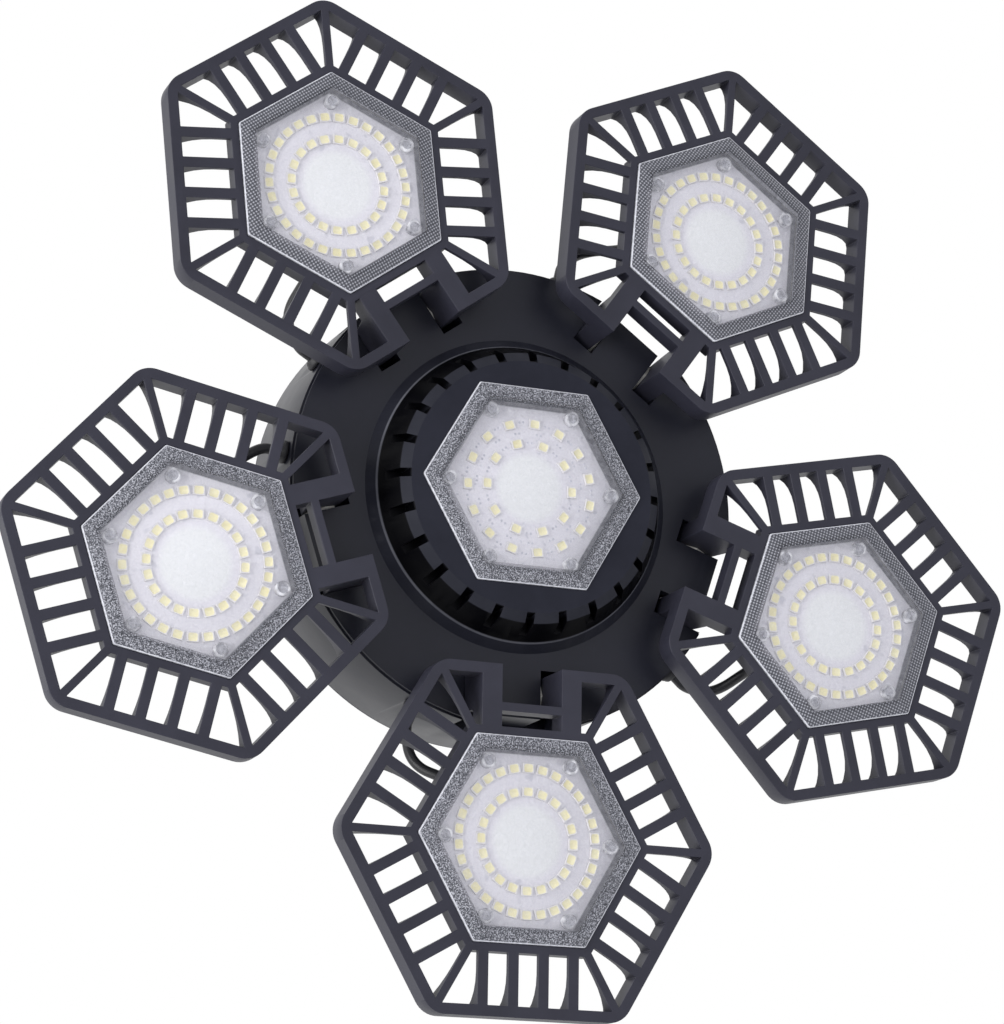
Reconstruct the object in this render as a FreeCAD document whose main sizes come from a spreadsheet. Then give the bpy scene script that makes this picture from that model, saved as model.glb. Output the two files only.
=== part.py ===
import FreeCAD, Part
import math
import os
import re

import Sketcher

# Folding garage light: a round hub hangs from a lamp socket by its screw cap and carries five
# hexagonal light panels on friction hinges.  Millimetres, +Z up, light faces -Z.
# Origin: centre of the collar's seat, where the screw cap begins.

VECTOR = FreeCAD.Vector
Z_UP = VECTOR(0, 0, 1)
Y_ALONG = VECTOR(0, 1, 0)
PANELS = ["a", "b", "c", "d", "e"]
SIDES = 6
RIBS_A_SIDE = 4
RIB_FLATS = 4
BORE_SIDES = 8
CABLE_SIDES = 6
BEND_CHORDS = 3

DIMENSIONS = [
    # cap and neck
    ("cap_radius", 13.0, "outer radius of the lamp cap's shell"),
    ("cap_height", 22.0, "height of the shell above the collar's seat"),
    ("cap_crimp", 1.4, "height of the shell's crimped end"),
    ("cap_mouth_radius", 9.0, "radius of the insulator where the shell is crimped"),
    ("tip_height", 3.2, "height of the insulating cone on the shell"),
    ("tip_radius", 4.2, "radius at the top of the insulating cone"),
    ("contact_radius", 3.4, "radius of the centre contact"),
    ("contact_height", 1.6, "height of the centre contact"),
    ("collar_radius", 17.5, "outer radius of the collar under the cap"),
    ("collar_height", 6.0, "height of the collar"),
    ("neck_height", 32.0, "from the collar's seat down to the housing's back"),
    ("neck_top_radius", 21.0, "neck radius under the collar"),
    ("neck_foot_radius", 41.0, "neck radius where it meets the housing's back"),
    ("lead_radius", 0.9, "radius of the two leads inside the neck"),
    # hub housing
    ("hub_radius", 68.5, "outer radius of the hub housing"),
    ("hub_wall", 2.4, "wall thickness of the housing"),
    ("hub_depth", 37.0, "depth of the housing, back to front disc"),
    ("cover_depth", 1.6, "part of that depth that belongs to the rear cover"),
    ("cover_chamfer", 0.8, "chamfer of the rear cover's edge"),
    ("disc_opening", 22.0, "apothem of the hexagonal opening behind the drum"),
    ("lip_step", 0.6, "radial step between the disc's lip and the skirt"),
    ("lip_height", 1.4, "height of the lip at the disc's edge"),
    # hinge seats in the housing
    ("hinge_setback", 10.5, "from the hub's edge in to each hinge axis"),
    ("hinge_inset", 5.6, "depth of the hinge axis behind the front disc"),
    ("lug_half_width", 8.1, "half width of the lug between the two ears"),
    ("lug_reach", 7.0, "from the hinge axis to the lug's cut end"),
    ("slot_width", 7.1, "width of the slot for an ear"),
    ("slot_back", 7.2, "from the hinge axis to the slot's inner end"),
    ("slot_depth", 13.6, "depth of the slots behind the front disc"),
    ("block_wall", 4.3, "material beside the slots"),
    ("block_floor", 2.6, "material behind and above the slots"),
    ("pin_radius", 2.0, "radius of a hinge pin"),
    ("pin_reach", 18.0, "half length of a hinge pin"),
    ("pin_clearance", 0.05, "radial clearance of the pin in its bores"),
    ("washer_radius", 4.4, "outer radius of a friction washer"),
    ("washer_play", 0.05, "play on each side of a friction washer"),
    # drum in the middle
    ("drum_height", 12.2, "from the front disc to the drum's flat face"),
    ("drum_face_radius", 37.0, "radius of the drum's flat face"),
    ("drum_rim_radius", 39.8, "radius of the drum under its chamfer"),
    ("drum_rim_drop", 1.5, "height of the drum's chamfer"),
    ("foot_ring_radius", 43.9, "radius of the foot ring's sharp edge"),
    ("foot_ring_spread", 46.5, "radius of the foot ring on the disc"),
    ("foot_ring_height", 2.2, "height of the foot ring"),
    ("drum_plate", 6.0, "thickness of the drum's face plate"),
    ("vent_count", 24.0, "number of vent notches round the drum"),
    ("vent_width", 2.5, "width of a vent notch"),
    ("vent_depth", 2.6, "radial depth of a vent notch in the face"),
    ("vent_height", 6.6, "height of a vent notch down the drum's wall"),
    # light panels
    ("arm_length", 43.9, "from a hinge axis out to the panel's centre"),
    ("lens_drop", 20.5, "from a hinge axis down to the lens's front plane"),
    ("frame_flat", 98.4, "panel frame across its flats"),
    ("frame_depth", 7.2, "depth of the panel frame's rim"),
    ("corner_round", 7.0, "rounding of the frame's six corners"),
    ("rim_width", 3.1, "width of the frame's rim"),
    ("bezel_width", 2.3, "width of the frame's bezel round the lens"),
    ("tray_depth", 5.2, "depth of the tray that holds the board and the lens"),
    ("rib_width", 3.1, "width of a cooling rib"),
    ("rib_pitch", 9.0, "distance between cooling ribs"),
    ("corner_rib_width", 2.35, "width of the rib that runs to each corner"),
    ("rib_web", 1.6, "depth of a rib where it leaves the bezel"),
    ("rib_straight", 5.6, "length over which a rib keeps that depth"),
    ("ear_gap", 18.1, "distance between a panel's two ears"),
    ("ear_width", 6.0, "width of an ear"),
    ("ear_root", 12.7, "length of an ear's leg where it leaves the frame"),
    ("boss_radius", 5.3, "radius of an ear round the hinge pin"),
    ("crossbar_width", 2.4, "width of the bar that joins the ears"),
    ("crossbar_gap", 4.5, "slot between that bar and the bezel"),
    ("crossbar_depth", 5.5, "depth of that bar"),
    # lens, board and lamps
    ("lens_flat", 58.0, "lens across its flats"),
    ("lens_fit", 0.1, "play round the lens and round the board"),
    ("lens_proud", 1.3, "how far the lens stands in front of its frame"),
    ("lens_thickness", 4.0, "height of the lens, front plane to seat"),
    ("lens_skin", 1.8, "thickness of the lens's window"),
    ("lens_edge", 2.8, "width of the lens's wall"),
    ("bevel_width", 4.0, "width of the lens's bevel"),
    ("bevel_drop", 0.7, "height of the lens's bevel"),
    ("post_ring_radius", 25.0, "radius of the circle of posts in a lens"),
    ("post_radius", 2.2, "radius of a post"),
    ("ledge_width", 1.4, "width of the ledge that the lens sits on"),
    ("board_thickness", 1.2, "thickness of a lamp board"),
    ("chip_length", 3.5, "length of a lamp chip"),
    ("chip_width", 2.8, "width of a lamp chip"),
    ("chip_height", 0.7, "height of a lamp chip"),
    ("outer_ring_radius", 20.6, "radius of a panel's outer ring of chips"),
    ("inner_ring_radius", 13.9, "radius of a panel's inner ring of chips"),
    ("hub_outer_ring_radius", 19.0, "radius of the hub's outer ring of chips"),
    ("hub_inner_ring_radius", 13.1, "radius of the hub's inner ring of chips"),
    # cables
    ("cable_radius", 1.5, "radius of a panel's cable"),
    ("cable_side", 27.5, "sideways place of a cable's exit from the hub"),
    ("cable_height", 1.0, "height of that exit above the hinge axis"),
    ("cable_fit", 0.05, "radial clearance round a cable in a grommet or gland"),
    ("cable_end_radius", 30.0, "distance of a cable's inner end from the hub's axis"),
    ("knee_x", 21.5, "cable's knee from the hinge axis, outwards"),
    ("knee_y", 27.5, "cable's knee from the panel's middle, sideways"),
    ("knee_z", 3.5, "cable's knee above the hinge axis"),
    ("knee_run", 5.0, "cable's straight run out of its grommet"),
    ("gland_run", 6.0, "cable's straight run into its gland"),
    ("grommet_radius", 3.4, "radius of a grommet's collar"),
    ("grommet_height", 2.6, "height of a grommet's collar"),
    ("grommet_plug_radius", 2.4, "radius of the part of a grommet inside a wall"),
    ("grommet_clearance", 0.05, "radial clearance of that part"),
    ("gland_place_x", -17.5, "cable's gland from the panel's centre, outwards"),
    ("gland_place_y", 19.5, "cable's gland from the panel's centre, sideways"),
    # driver
    ("driver_radius", 36.0, "radius of the round driver board"),
    ("driver_board_thickness", 1.6, "thickness of the driver board"),
    ("standoff_height", 8.0, "height of the posts that carry the driver board"),
    ("standoff_radius", 3.0, "radius of those posts"),
    ("standoff_circle_radius", 31.0, "radius of the circle they stand on"),
    ("transformer_size", 20.0, "side of the transformer"),
    ("transformer_height", 15.0, "height of the transformer"),
    ("capacitor_side", 10.0, "side of a film capacitor"),
    ("capacitor_height", 14.0, "height of a film capacitor"),
    # cover screws
    ("screw_setback", 8.5, "from the hub's edge in to each cover screw"),
    ("screw_radius", 1.5, "radius of a cover screw's shank"),
    ("screw_head_radius", 3.0, "radius of a cover screw's head"),
    ("screw_head_height", 2.0, "height of a cover screw's head"),
    ("screw_grip", 8.0, "length of a cover screw below the cover's inner face"),
    ("screw_boss_radius", 4.2, "radius of the pillar under a cover screw"),
    ("screw_clearance", 0.05, "radial clearance of a cover screw"),
    # pose at rest, in degrees
    ("first_azimuth", 234.0, "direction of panel a from the hub"),
    ("tilt_a", 2.0, "upward fold of panel a at rest"),
    ("tilt_b", 3.5, "upward fold of panel b at rest"),
    ("tilt_c", 0.0, "upward fold of panel c at rest"),
    ("tilt_d", 0.5, "upward fold of panel d at rest"),
    ("tilt_e", 4.0, "upward fold of panel e at rest"),
]

OUTER_RING_CHIPS = 30
INNER_RING_CHIPS = 20
HUB_OUTER_RING_CHIPS = 15
HUB_INNER_RING_CHIPS = 10
CABLE_SIGN = {"a": -1, "b": -1, "c": 1, "d": 1, "e": 1}

doc = FreeCAD.newDocument("garage_light")
sheet = doc.addObject("Spreadsheet::Sheet", "dims")
for row, (alias, size, meaning) in enumerate(DIMENSIONS, start=1):
    sheet.set("A%d" % row, alias)
    sheet.set("B%d" % row, str(size))
    sheet.set("C%d" % row, meaning)
    sheet.setAlias("B%d" % row, alias)
doc.recompute()

ALIASES = [alias for alias, size, meaning in DIMENSIONS]
ALIAS_PATTERN = re.compile(r"\b(%s)\b" % "|".join(sorted(ALIASES, key=len, reverse=True)))

# Places in the hub's frame, as formulas of the sheet.
HINGE_RADIUS = "(hub_radius - hinge_setback)"
SCREW_CIRCLE = "(hub_radius - screw_setback)"
BACK_Z = "-neck_height"
SEAM_Z = "(-neck_height - cover_depth)"
DISC_Z = "(-neck_height - hub_depth)"
DISC_BACK_Z = "(%s + hub_wall)" % DISC_Z
HINGE_Z = "(%s + hinge_inset)" % DISC_Z
DRUM_FACE_Z = "(%s - drum_height)" % DISC_Z
HUB_LENS_Z = "(%s - lens_proud)" % DRUM_FACE_Z
BLOCK_TOP_Z = "(%s + slot_depth + block_floor)" % DISC_Z
DRIVER_Z = "(%s + standoff_height)" % DISC_BACK_Z
SLOT_SIDE = "(lug_half_width + slot_width)"
BLOCK_SIDE = "(lug_half_width + slot_width + block_wall)"
# Heights and distances in a panel's frame: origin at the lens's front plane, +Z to the back.
FRAME_BACK_Z = "(lens_proud + frame_depth)"
TRAY_BACK_Z = "(lens_proud + tray_depth)"
BEZEL_FLAT = "(lens_flat / 2 + lens_fit + bezel_width)"
RIM_INNER_FLAT = "(frame_flat / 2 - rim_width)"
EAR_NEAR = "(ear_gap / 2)"
EAR_FAR = "(ear_gap / 2 + ear_width)"
LENS_SEAT_APOTHEM = "(lens_flat / 2 + lens_fit)"
BOARD_APOTHEM = "(lens_flat / 2 - ledge_width)"


def bind(formula):
    """The formula with every size name pointing at its cell."""
    return ALIAS_PATTERN.sub(lambda found: "dims." + found.group(1), str(formula))


def size_of(formula):
    """The formula's value now, in millimetres or degrees."""
    return float(sheet.evalExpression(bind(formula)))


def origin_part(body, role):
    return [part for part in body.Origin.OriginFeatures if part.Role == role][0]


def new_body(label):
    body = doc.addObject("PartDesign::Body", label)
    body.Label = label
    return body


def new_sketch(body, name, plane, offset=None, turn=None):
    """An empty sketch on one of the body's own planes, moved along its normal by offset."""
    sketch = body.newObject("Sketcher::SketchObject", name)
    sketch.AttachmentSupport = (origin_part(body, plane), [""])
    sketch.MapMode = "FlatFace"
    if turn is not None:
        rotation = FreeCAD.Rotation(turn[0], turn[1])
        sketch.AttachmentOffset = FreeCAD.Placement(VECTOR(0, 0, 0), rotation)
    if offset is not None:
        sketch.setExpression(".AttachmentOffset.Base.z", bind(offset))
    return sketch


def fix(sketch, kind, edge, end, formula):
    """One size of the sketch, tied to its formula."""
    place = sketch.addConstraint(Sketcher.Constraint(kind, edge, end, size_of(formula)))
    sketch.setExpression("Constraints[%d]" % place, bind(formula))


def draw_outline(sketch, corners):
    """A closed outline through corners, each a pair of formulas."""
    first = sketch.GeometryCount
    count = len(corners)
    points = [VECTOR(size_of(x), size_of(y), 0) for x, y in corners]
    for step in range(count):
        sketch.addGeometry(Part.LineSegment(points[step], points[(step + 1) % count]), False)
    for step in range(count):
        after = first + (step + 1) % count
        sketch.addConstraint(Sketcher.Constraint("Coincident", first + step, 2, after, 1))
    for step, (x, y) in enumerate(corners):
        fix(sketch, "DistanceX", first + step, 1, x)
        fix(sketch, "DistanceY", first + step, 1, y)


def draw_circle(sketch, x, y, radius):
    centre = VECTOR(size_of(x), size_of(y), 0)
    edge = sketch.addGeometry(Part.Circle(centre, Z_UP, size_of(radius)), False)
    fix(sketch, "DistanceX", edge, 3, x)
    fix(sketch, "DistanceY", edge, 3, y)
    place = sketch.addConstraint(Sketcher.Constraint("Radius", edge, size_of(radius)))
    sketch.setExpression("Constraints[%d]" % place, bind(radius))


def polygon(sides, apothem, first_corner, x="0", y="0"):
    """Corners of a regular polygon round (x, y), with one corner in the direction first_corner."""
    reach = "%s / cos(%g deg)" % (apothem, 180 / sides)
    corners = []
    for step in range(sides):
        angle = first_corner + 360 / sides * step
        corner_x = "%s + %s * cos(%g deg)" % (x, reach, angle)
        corner_y = "%s + %s * sin(%g deg)" % (y, reach, angle)
        corners.append((corner_x, corner_y))
    return corners


def hexagon(apothem, first_corner=30, x="0", y="0"):
    """Corners of a hexagon; with first_corner 30 two of its flats face along X."""
    return polygon(SIDES, apothem, first_corner, x, y)


def rectangle(x_low, x_high, y_low, y_high):
    return [(x_low, y_low), (x_high, y_low), (x_high, y_high), (x_low, y_high)]


def extrude(body, kind, name, sketch, length, reverse=False, symmetric=False):
    feature = body.newObject("PartDesign::" + kind, name)
    feature.Profile = sketch
    feature.Reversed = reverse
    if symmetric:
        feature.SideType = "Symmetric"
    feature.setExpression("Length", bind(length))
    doc.recompute()
    return feature


def add(body, name, sketch, length, **options):
    return extrude(body, "Pad", name, sketch, length, **options)


def cut(body, name, sketch, length, **options):
    """A pocket, with a check that it took material away."""
    before = body.Shape.Volume
    feature = extrude(body, "Pocket", name, sketch, length, **options)
    if body.Shape.Volume > before - 1e-3:
        raise RuntimeError(body.Label + ": " + name + " cuts nothing")
    return feature


def revolve(body, name, corners):
    """A turned solid; corners are (radius, height) formulas."""
    sketch = new_sketch(body, name + "_profile", "XZ_Plane")
    draw_outline(sketch, corners)
    feature = body.newObject("PartDesign::Revolution", name)
    feature.Profile = sketch
    feature.ReferenceAxis = (sketch, ["V_Axis"])
    feature.Angle = 360
    doc.recompute()
    return feature


def repeat_round(body, name, features, count, spread="360"):
    """The features repeated round the body's Z axis."""
    pattern = body.newObject("PartDesign::PolarPattern", name)
    pattern.Originals = features
    pattern.Axis = (origin_part(body, "Z_Axis"), [""])
    pattern.setExpression("Angle", bind(spread))
    pattern.setExpression("Occurrences", bind(count))
    body.Tip = pattern
    doc.recompute()
    return pattern


def mirror_sideways(body, name, features):
    mirrored = body.newObject("PartDesign::Mirrored", name)
    mirrored.Originals = features
    mirrored.MirrorPlane = (origin_part(body, "XZ_Plane"), [""])
    body.Tip = mirrored
    doc.recompute()
    return mirrored


def shape_part(label, shape, placement=None):
    """A sub-part whose shape is worked out from the sheet with plain solids."""
    part = doc.addObject("Part::Feature", label)
    part.Label = label
    part.Shape = shape
    if placement is not None:
        part.Placement = placement
    return part


def azimuth_of(panel):
    return size_of("first_azimuth") + 360 / len(PANELS) * PANELS.index(panel)


def hinge_placement(panel):
    """Origin on the panel's hinge axis, X outwards, Y along the axis, before any fold."""
    turn = FreeCAD.Rotation(Z_UP, azimuth_of(panel))
    place = turn.multVec(VECTOR(size_of(HINGE_RADIUS), 0, size_of(HINGE_Z)))
    return FreeCAD.Placement(place, turn)


def panel_placement(panel):
    """The panel's own frame at rest: folded about its hinge, origin at the lens's front."""
    fold = FreeCAD.Placement(VECTOR(), FreeCAD.Rotation(Y_ALONG, -size_of("tilt_" + panel)))
    reach = VECTOR(size_of("arm_length"), 0, -size_of("lens_drop"))
    centre = FreeCAD.Placement(reach, FreeCAD.Rotation())
    return hinge_placement(panel).multiply(fold).multiply(centre)


# ---------------------------------------------------------------- hub housing


def make_hub_shell():
    """Front disc and skirt, with a slotted hinge block for each panel."""
    body = new_body("hub_shell")
    lip_top = DISC_Z + " + lip_height"
    revolve(body, "cup", [
        ("0", DISC_Z),
        ("hub_radius - lip_step", DISC_Z),
        ("hub_radius - lip_step", lip_top),
        ("hub_radius", lip_top),
        ("hub_radius", SEAM_Z),
        ("hub_radius - hub_wall", SEAM_Z),
        ("hub_radius - hub_wall", DISC_BACK_Z),
        ("0", DISC_BACK_Z),
    ])
    opening_sketch = new_sketch(body, "opening_outline", "XY_Plane", DISC_Z)
    draw_outline(opening_sketch, hexagon("disc_opening", 0))
    cut(body, "opening", opening_sketch, "hub_wall", reverse=True)
    wall_middle = "sqrt((hub_radius - hub_wall / 2)^2 - (%s)^2)"
    inner_end = HINGE_RADIUS + " - slot_back - block_floor"
    block_sketch = new_sketch(body, "block_outline", "XY_Plane", DISC_Z)
    draw_outline(block_sketch, [
        (inner_end, "-" + BLOCK_SIDE),
        (wall_middle % BLOCK_SIDE, "-" + BLOCK_SIDE),
        (wall_middle % (BLOCK_SIDE + " / 2"), "-" + BLOCK_SIDE + " / 2"),
        (wall_middle % "0", "0"),
        (wall_middle % (BLOCK_SIDE + " / 2"), BLOCK_SIDE + " / 2"),
        (wall_middle % BLOCK_SIDE, BLOCK_SIDE),
        (inner_end, BLOCK_SIDE),
    ])
    block = add(body, "hinge_block", block_sketch, "slot_depth + block_floor")
    pillar_sketch = new_sketch(body, "pillar_outline", "XY_Plane", BLOCK_TOP_Z + " - block_floor")
    draw_outline(pillar_sketch, hexagon("screw_boss_radius", 0, SCREW_CIRCLE))
    pillar_height = BACK_Z + " - hub_wall - " + BLOCK_TOP_Z + " + block_floor"
    pillar = add(body, "screw_pillar", pillar_sketch, pillar_height)
    slot_sketch = new_sketch(body, "slot_outline", "XY_Plane", DISC_Z)
    inner = HINGE_RADIUS + " - slot_back"
    outside = "hub_radius + hub_wall"
    lug_end = HINGE_RADIUS + " + lug_reach"
    draw_outline(slot_sketch, [
        (inner, "-" + SLOT_SIDE),
        (outside, "-" + SLOT_SIDE),
        (outside, SLOT_SIDE),
        (inner, SLOT_SIDE),
        (inner, "lug_half_width"),
        (lug_end, "lug_half_width"),
        (lug_end, "-lug_half_width"),
        (inner, "-lug_half_width"),
    ])
    slots = cut(body, "ear_slots", slot_sketch, "slot_depth", reverse=True)
    bore_sketch = new_sketch(body, "pin_bore_outline", "XZ_Plane")
    draw_circle(bore_sketch, HINGE_RADIUS, HINGE_Z, "pin_radius + pin_clearance")
    bore_length = "2 * (pin_reach + washer_play)"
    bore = cut(body, "pin_bore", bore_sketch, bore_length, symmetric=True)
    screw_sketch = new_sketch(body, "screw_bore_outline", "XY_Plane", BACK_Z + " - hub_wall")
    screw_room = "(screw_radius + screw_clearance)"
    draw_outline(screw_sketch, hexagon(screw_room, 0, SCREW_CIRCLE))
    screw_bore = cut(body, "screw_bore", screw_sketch, "screw_grip + screw_clearance")
    posts_sketch = new_sketch(body, "standoff_outline", "XY_Plane", DISC_BACK_Z + " - hub_wall / 2")
    between = "standoff_circle_radius * %s(180 deg / " + str(len(PANELS)) + ")"
    draw_outline(posts_sketch, hexagon("standoff_radius", 0, between % "cos", between % "sin"))
    post = add(body, "standoff", posts_sketch, "standoff_height + hub_wall / 2")
    features = [block, pillar, slots, bore, screw_bore, post]
    repeat_round(body, "five_hinges", features, str(len(PANELS)))
    body.Placement = FreeCAD.Placement(VECTOR(), FreeCAD.Rotation(Z_UP, size_of("first_azimuth")))
    return body


def cable_exit(panel):
    """Where the panel's cable leaves the skirt: a point on the wall and the outward direction."""
    side = CABLE_SIGN[panel] * size_of("cable_side")
    angle = math.degrees(math.asin(side / size_of("hub_radius"))) + azimuth_of(panel)
    outward = FreeCAD.Rotation(Z_UP, angle).multVec(VECTOR(1, 0, 0))
    height = size_of(HINGE_Z + " + cable_height")
    wall = outward * size_of("hub_radius")
    return VECTOR(wall.x, wall.y, height), outward


def make_hub_housing(body):
    """The shell with its five holes for the cables' grommets."""
    holes = []
    plug_room = "(grommet_plug_radius + grommet_clearance)"
    for panel in PANELS:
        point, outward = cable_exit(panel)
        hole = doc.addObject("Part::Prism", "cable_hole_" + panel)
        hole.Polygon = BORE_SIDES
        hole.setExpression("Circumradius", bind("%s / cos(%g deg)" % (plug_room, 180 / BORE_SIDES)))
        hole.setExpression("Height", bind("3 * hub_wall"))
        start = point - outward * size_of("2 * hub_wall")
        hole.Placement = FreeCAD.Placement(start, FreeCAD.Rotation(Z_UP, outward))
        holes.append(hole)
    drill = doc.addObject("Part::MultiFuse", "cable_holes")
    drill.Shapes = holes
    housing = doc.addObject("Part::Cut", "hub_housing")
    housing.Label = "hub_housing"
    housing.Base = body
    housing.Tool = drill
    return housing


def make_rear_cover():
    """Back plate with a conical neck, and holes for its screws."""
    body = new_body("rear_cover")
    inside_z = BACK_Z + " - hub_wall"
    lip = "hub_radius - hub_wall - lens_fit"
    revolve(body, "bell", [
        (lip, SEAM_Z),
        ("hub_radius", SEAM_Z),
        ("hub_radius", BACK_Z + " - cover_chamfer"),
        ("hub_radius - cover_chamfer", BACK_Z),
        ("neck_foot_radius", BACK_Z),
        ("neck_top_radius", "-collar_height"),
        ("neck_top_radius - hub_wall", "-collar_height"),
        ("neck_foot_radius - hub_wall", inside_z),
        (lip, inside_z),
    ])
    hole_sketch = new_sketch(body, "screw_hole_outline", "XY_Plane", BACK_Z)
    draw_outline(hole_sketch, hexagon("(screw_radius + screw_clearance)", 0, SCREW_CIRCLE))
    hole = cut(body, "screw_hole", hole_sketch, "hub_wall")
    repeat_round(body, "screw_holes", [hole], str(len(PANELS)))
    body.Placement = FreeCAD.Placement(VECTOR(), FreeCAD.Rotation(Z_UP, size_of("first_azimuth")))
    return body


def make_cap():
    """Collar, screw shell, insulator and centre contact of the lamp cap."""
    collar = new_body("cap_collar")
    revolve(collar, "ring", [
        ("0", "-collar_height"),
        ("neck_top_radius", "-collar_height"),
        ("collar_radius", "-collar_height / 3"),
        ("collar_radius", "0"),
        ("0", "0"),
    ])
    shell = new_body("screw_shell")
    revolve(shell, "sleeve", [
        ("0", "0"),
        ("cap_radius", "0"),
        ("cap_radius", "cap_height - cap_crimp"),
        ("cap_mouth_radius", "cap_height"),
        ("0", "cap_height"),
    ])
    insulator = new_body("tip_insulator")
    revolve(insulator, "cone", [
        ("0", "cap_height"),
        ("cap_mouth_radius", "cap_height"),
        ("tip_radius", "cap_height + tip_height"),
        ("0", "cap_height + tip_height"),
    ])
    contact = new_body("tip_contact")
    top = "cap_height + tip_height"
    revolve(contact, "button", [
        ("0", top),
        ("contact_radius", top),
        ("contact_radius", top + " + contact_height / 2"),
        ("contact_radius / 2", top + " + contact_height"),
        ("0", top + " + contact_height"),
    ])
    return [collar, shell, insulator, contact]


def make_drum():
    """The drum that carries the hub's own light: tapered wall, foot ring and vent notches."""
    body = new_body("vent_drum")
    face = DRUM_FACE_Z
    ring_edge = "%s - foot_ring_height" % DISC_Z
    revolve(body, "turned", [
        ("0", face),
        ("drum_face_radius", face),
        ("drum_rim_radius", face + " + drum_rim_drop"),
        ("foot_ring_radius", ring_edge),
        ("foot_ring_spread", DISC_Z),
        ("0", DISC_Z),
    ])
    hollow_sketch = new_sketch(body, "drum_hollow_outline", "XY_Plane", DISC_Z)
    draw_outline(hollow_sketch, hexagon("disc_opening", 0))
    cut(body, "drum_hollow", hollow_sketch, "drum_height - drum_plate")
    notch_sketch = new_sketch(body, "notch_outline", "XY_Plane", face)
    draw_outline(notch_sketch, rectangle("drum_rim_radius - vent_depth", "foot_ring_spread",
                                         "-vent_width / 2", "vent_width / 2"))
    notch = cut(body, "vent_notch", notch_sketch, "vent_height", reverse=True)
    repeat_round(body, "vent_notches", [notch], "vent_count")
    seat_sketch = new_sketch(body, "lens_seat_outline", "XY_Plane", face)
    draw_outline(seat_sketch, hexagon(LENS_SEAT_APOTHEM, 0))
    cut(body, "lens_seat", seat_sketch, "lens_thickness - lens_proud", reverse=True)
    board_sketch = new_sketch(body, "board_seat_outline", "XY_Plane", face)
    draw_outline(board_sketch, hexagon(BOARD_APOTHEM, 0))
    seat_depth = "lens_thickness - lens_proud + board_thickness"
    cut(body, "board_seat", board_sketch, seat_depth, reverse=True)
    cable_sketch = new_sketch(body, "cable_bore_outline", "XY_Plane", face)
    draw_outline(cable_sketch, polygon(BORE_SIDES, "(cable_radius + cable_fit)", 0))
    cut(body, "cable_bore", cable_sketch, "drum_plate", reverse=True)
    return body


# ---------------------------------------------------------------- light units


def make_lens(label, placement, first_corner):
    """Bevelled hexagonal cover, hollow behind, with six posts in its corners."""
    body = new_body(label)
    window = new_sketch(body, label + "_window_outline", "XY_Plane")
    draw_outline(window, hexagon("(lens_flat / 2 - bevel_width)", first_corner))
    outline = new_sketch(body, label + "_outline", "XY_Plane", "bevel_drop")
    draw_outline(outline, hexagon("(lens_flat / 2)", first_corner))
    bevel = body.newObject("PartDesign::AdditiveLoft", label + "_bevel")
    bevel.Profile = window
    bevel.Sections = [outline]
    bevel.Ruled = True
    doc.recompute()
    block_sketch = new_sketch(body, label + "_block_outline", "XY_Plane", "bevel_drop")
    draw_outline(block_sketch, hexagon("(lens_flat / 2)", first_corner))
    add(body, label + "_block", block_sketch, "lens_thickness - bevel_drop")
    hollow_sketch = new_sketch(body, label + "_hollow_outline", "XY_Plane", "lens_thickness")
    draw_outline(hollow_sketch, hexagon("(lens_flat / 2 - lens_edge)", first_corner))
    cut(body, label + "_hollow", hollow_sketch, "lens_thickness - lens_skin")
    post_sketch = new_sketch(body, label + "_post_outline", "XY_Plane", "lens_skin / 2")
    post_x = "post_ring_radius * cos(%g deg)" % first_corner
    post_y = "post_ring_radius * sin(%g deg)" % first_corner
    draw_outline(post_sketch, hexagon("post_radius", first_corner, post_x, post_y))
    post = add(body, label + "_post", post_sketch, "lens_thickness - lens_skin / 2")
    repeat_round(body, label + "_posts", [post], str(SIDES))
    body.Placement = placement
    return body


def make_board(label, placement, first_corner):
    """Hexagonal lamp board."""
    body = new_body(label)
    outline = new_sketch(body, label + "_outline", "XY_Plane", "lens_thickness")
    draw_outline(outline, hexagon("(%s - lens_fit)" % BOARD_APOTHEM, first_corner))
    add(body, label + "_plate", outline, "board_thickness")
    body.Placement = placement
    return body


def make_chips(label, placement, rings):
    """Two rings of lamp chips; rings holds a radius and a count for each."""
    length = size_of("chip_length")
    width = size_of("chip_width")
    height = size_of("chip_height")
    front = size_of("lens_thickness - chip_height")
    chips = []
    for radius, count in rings:
        for number in range(count):
            corner = VECTOR(radius - width / 2, -length / 2, front)
            chip = Part.makeBox(width, length, height, corner)
            chip.rotate(VECTOR(), Z_UP, 360 / count * number)
            chips.append(chip)
    return shape_part(label, Part.makeCompound(chips), placement)


# ---------------------------------------------------------------- panel frame


def draw_rib(sketch, scale):
    """Outline of a cooling rib; its back leaves the bezel thin and sweeps up to the rim's depth."""
    start = "(%s * %s)" % (BEZEL_FLAT, scale)
    end = "(%s * %s)" % (RIM_INNER_FLAT, scale)
    inside = start + " - bezel_width / 2"
    beyond = end + " + rim_width / 2"
    turn_x = "(" + start + " + rib_straight)"
    run = "(" + end + " - " + turn_x + ")"
    rise = "(frame_depth - rib_web)"
    radius = "((%s^2 + %s^2) / (2 * %s))" % (run, rise, rise)
    swing = "asin(%s / %s)" % (run, radius)
    outline = [
        (inside, "lens_proud"),
        (beyond, "lens_proud"),
        (beyond, FRAME_BACK_Z),
    ]
    for step in range(RIB_FLATS, -1, -1):
        turned = "(%s * %g)" % (swing, step / RIB_FLATS)
        x = "%s + %s * sin(%s)" % (turn_x, radius, turned)
        depth = "lens_proud + rib_web + %s * (1 - cos(%s))" % (radius, turned)
        outline.append((x, depth))
    outline.append((inside, "lens_proud + rib_web"))
    draw_outline(sketch, outline)


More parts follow.
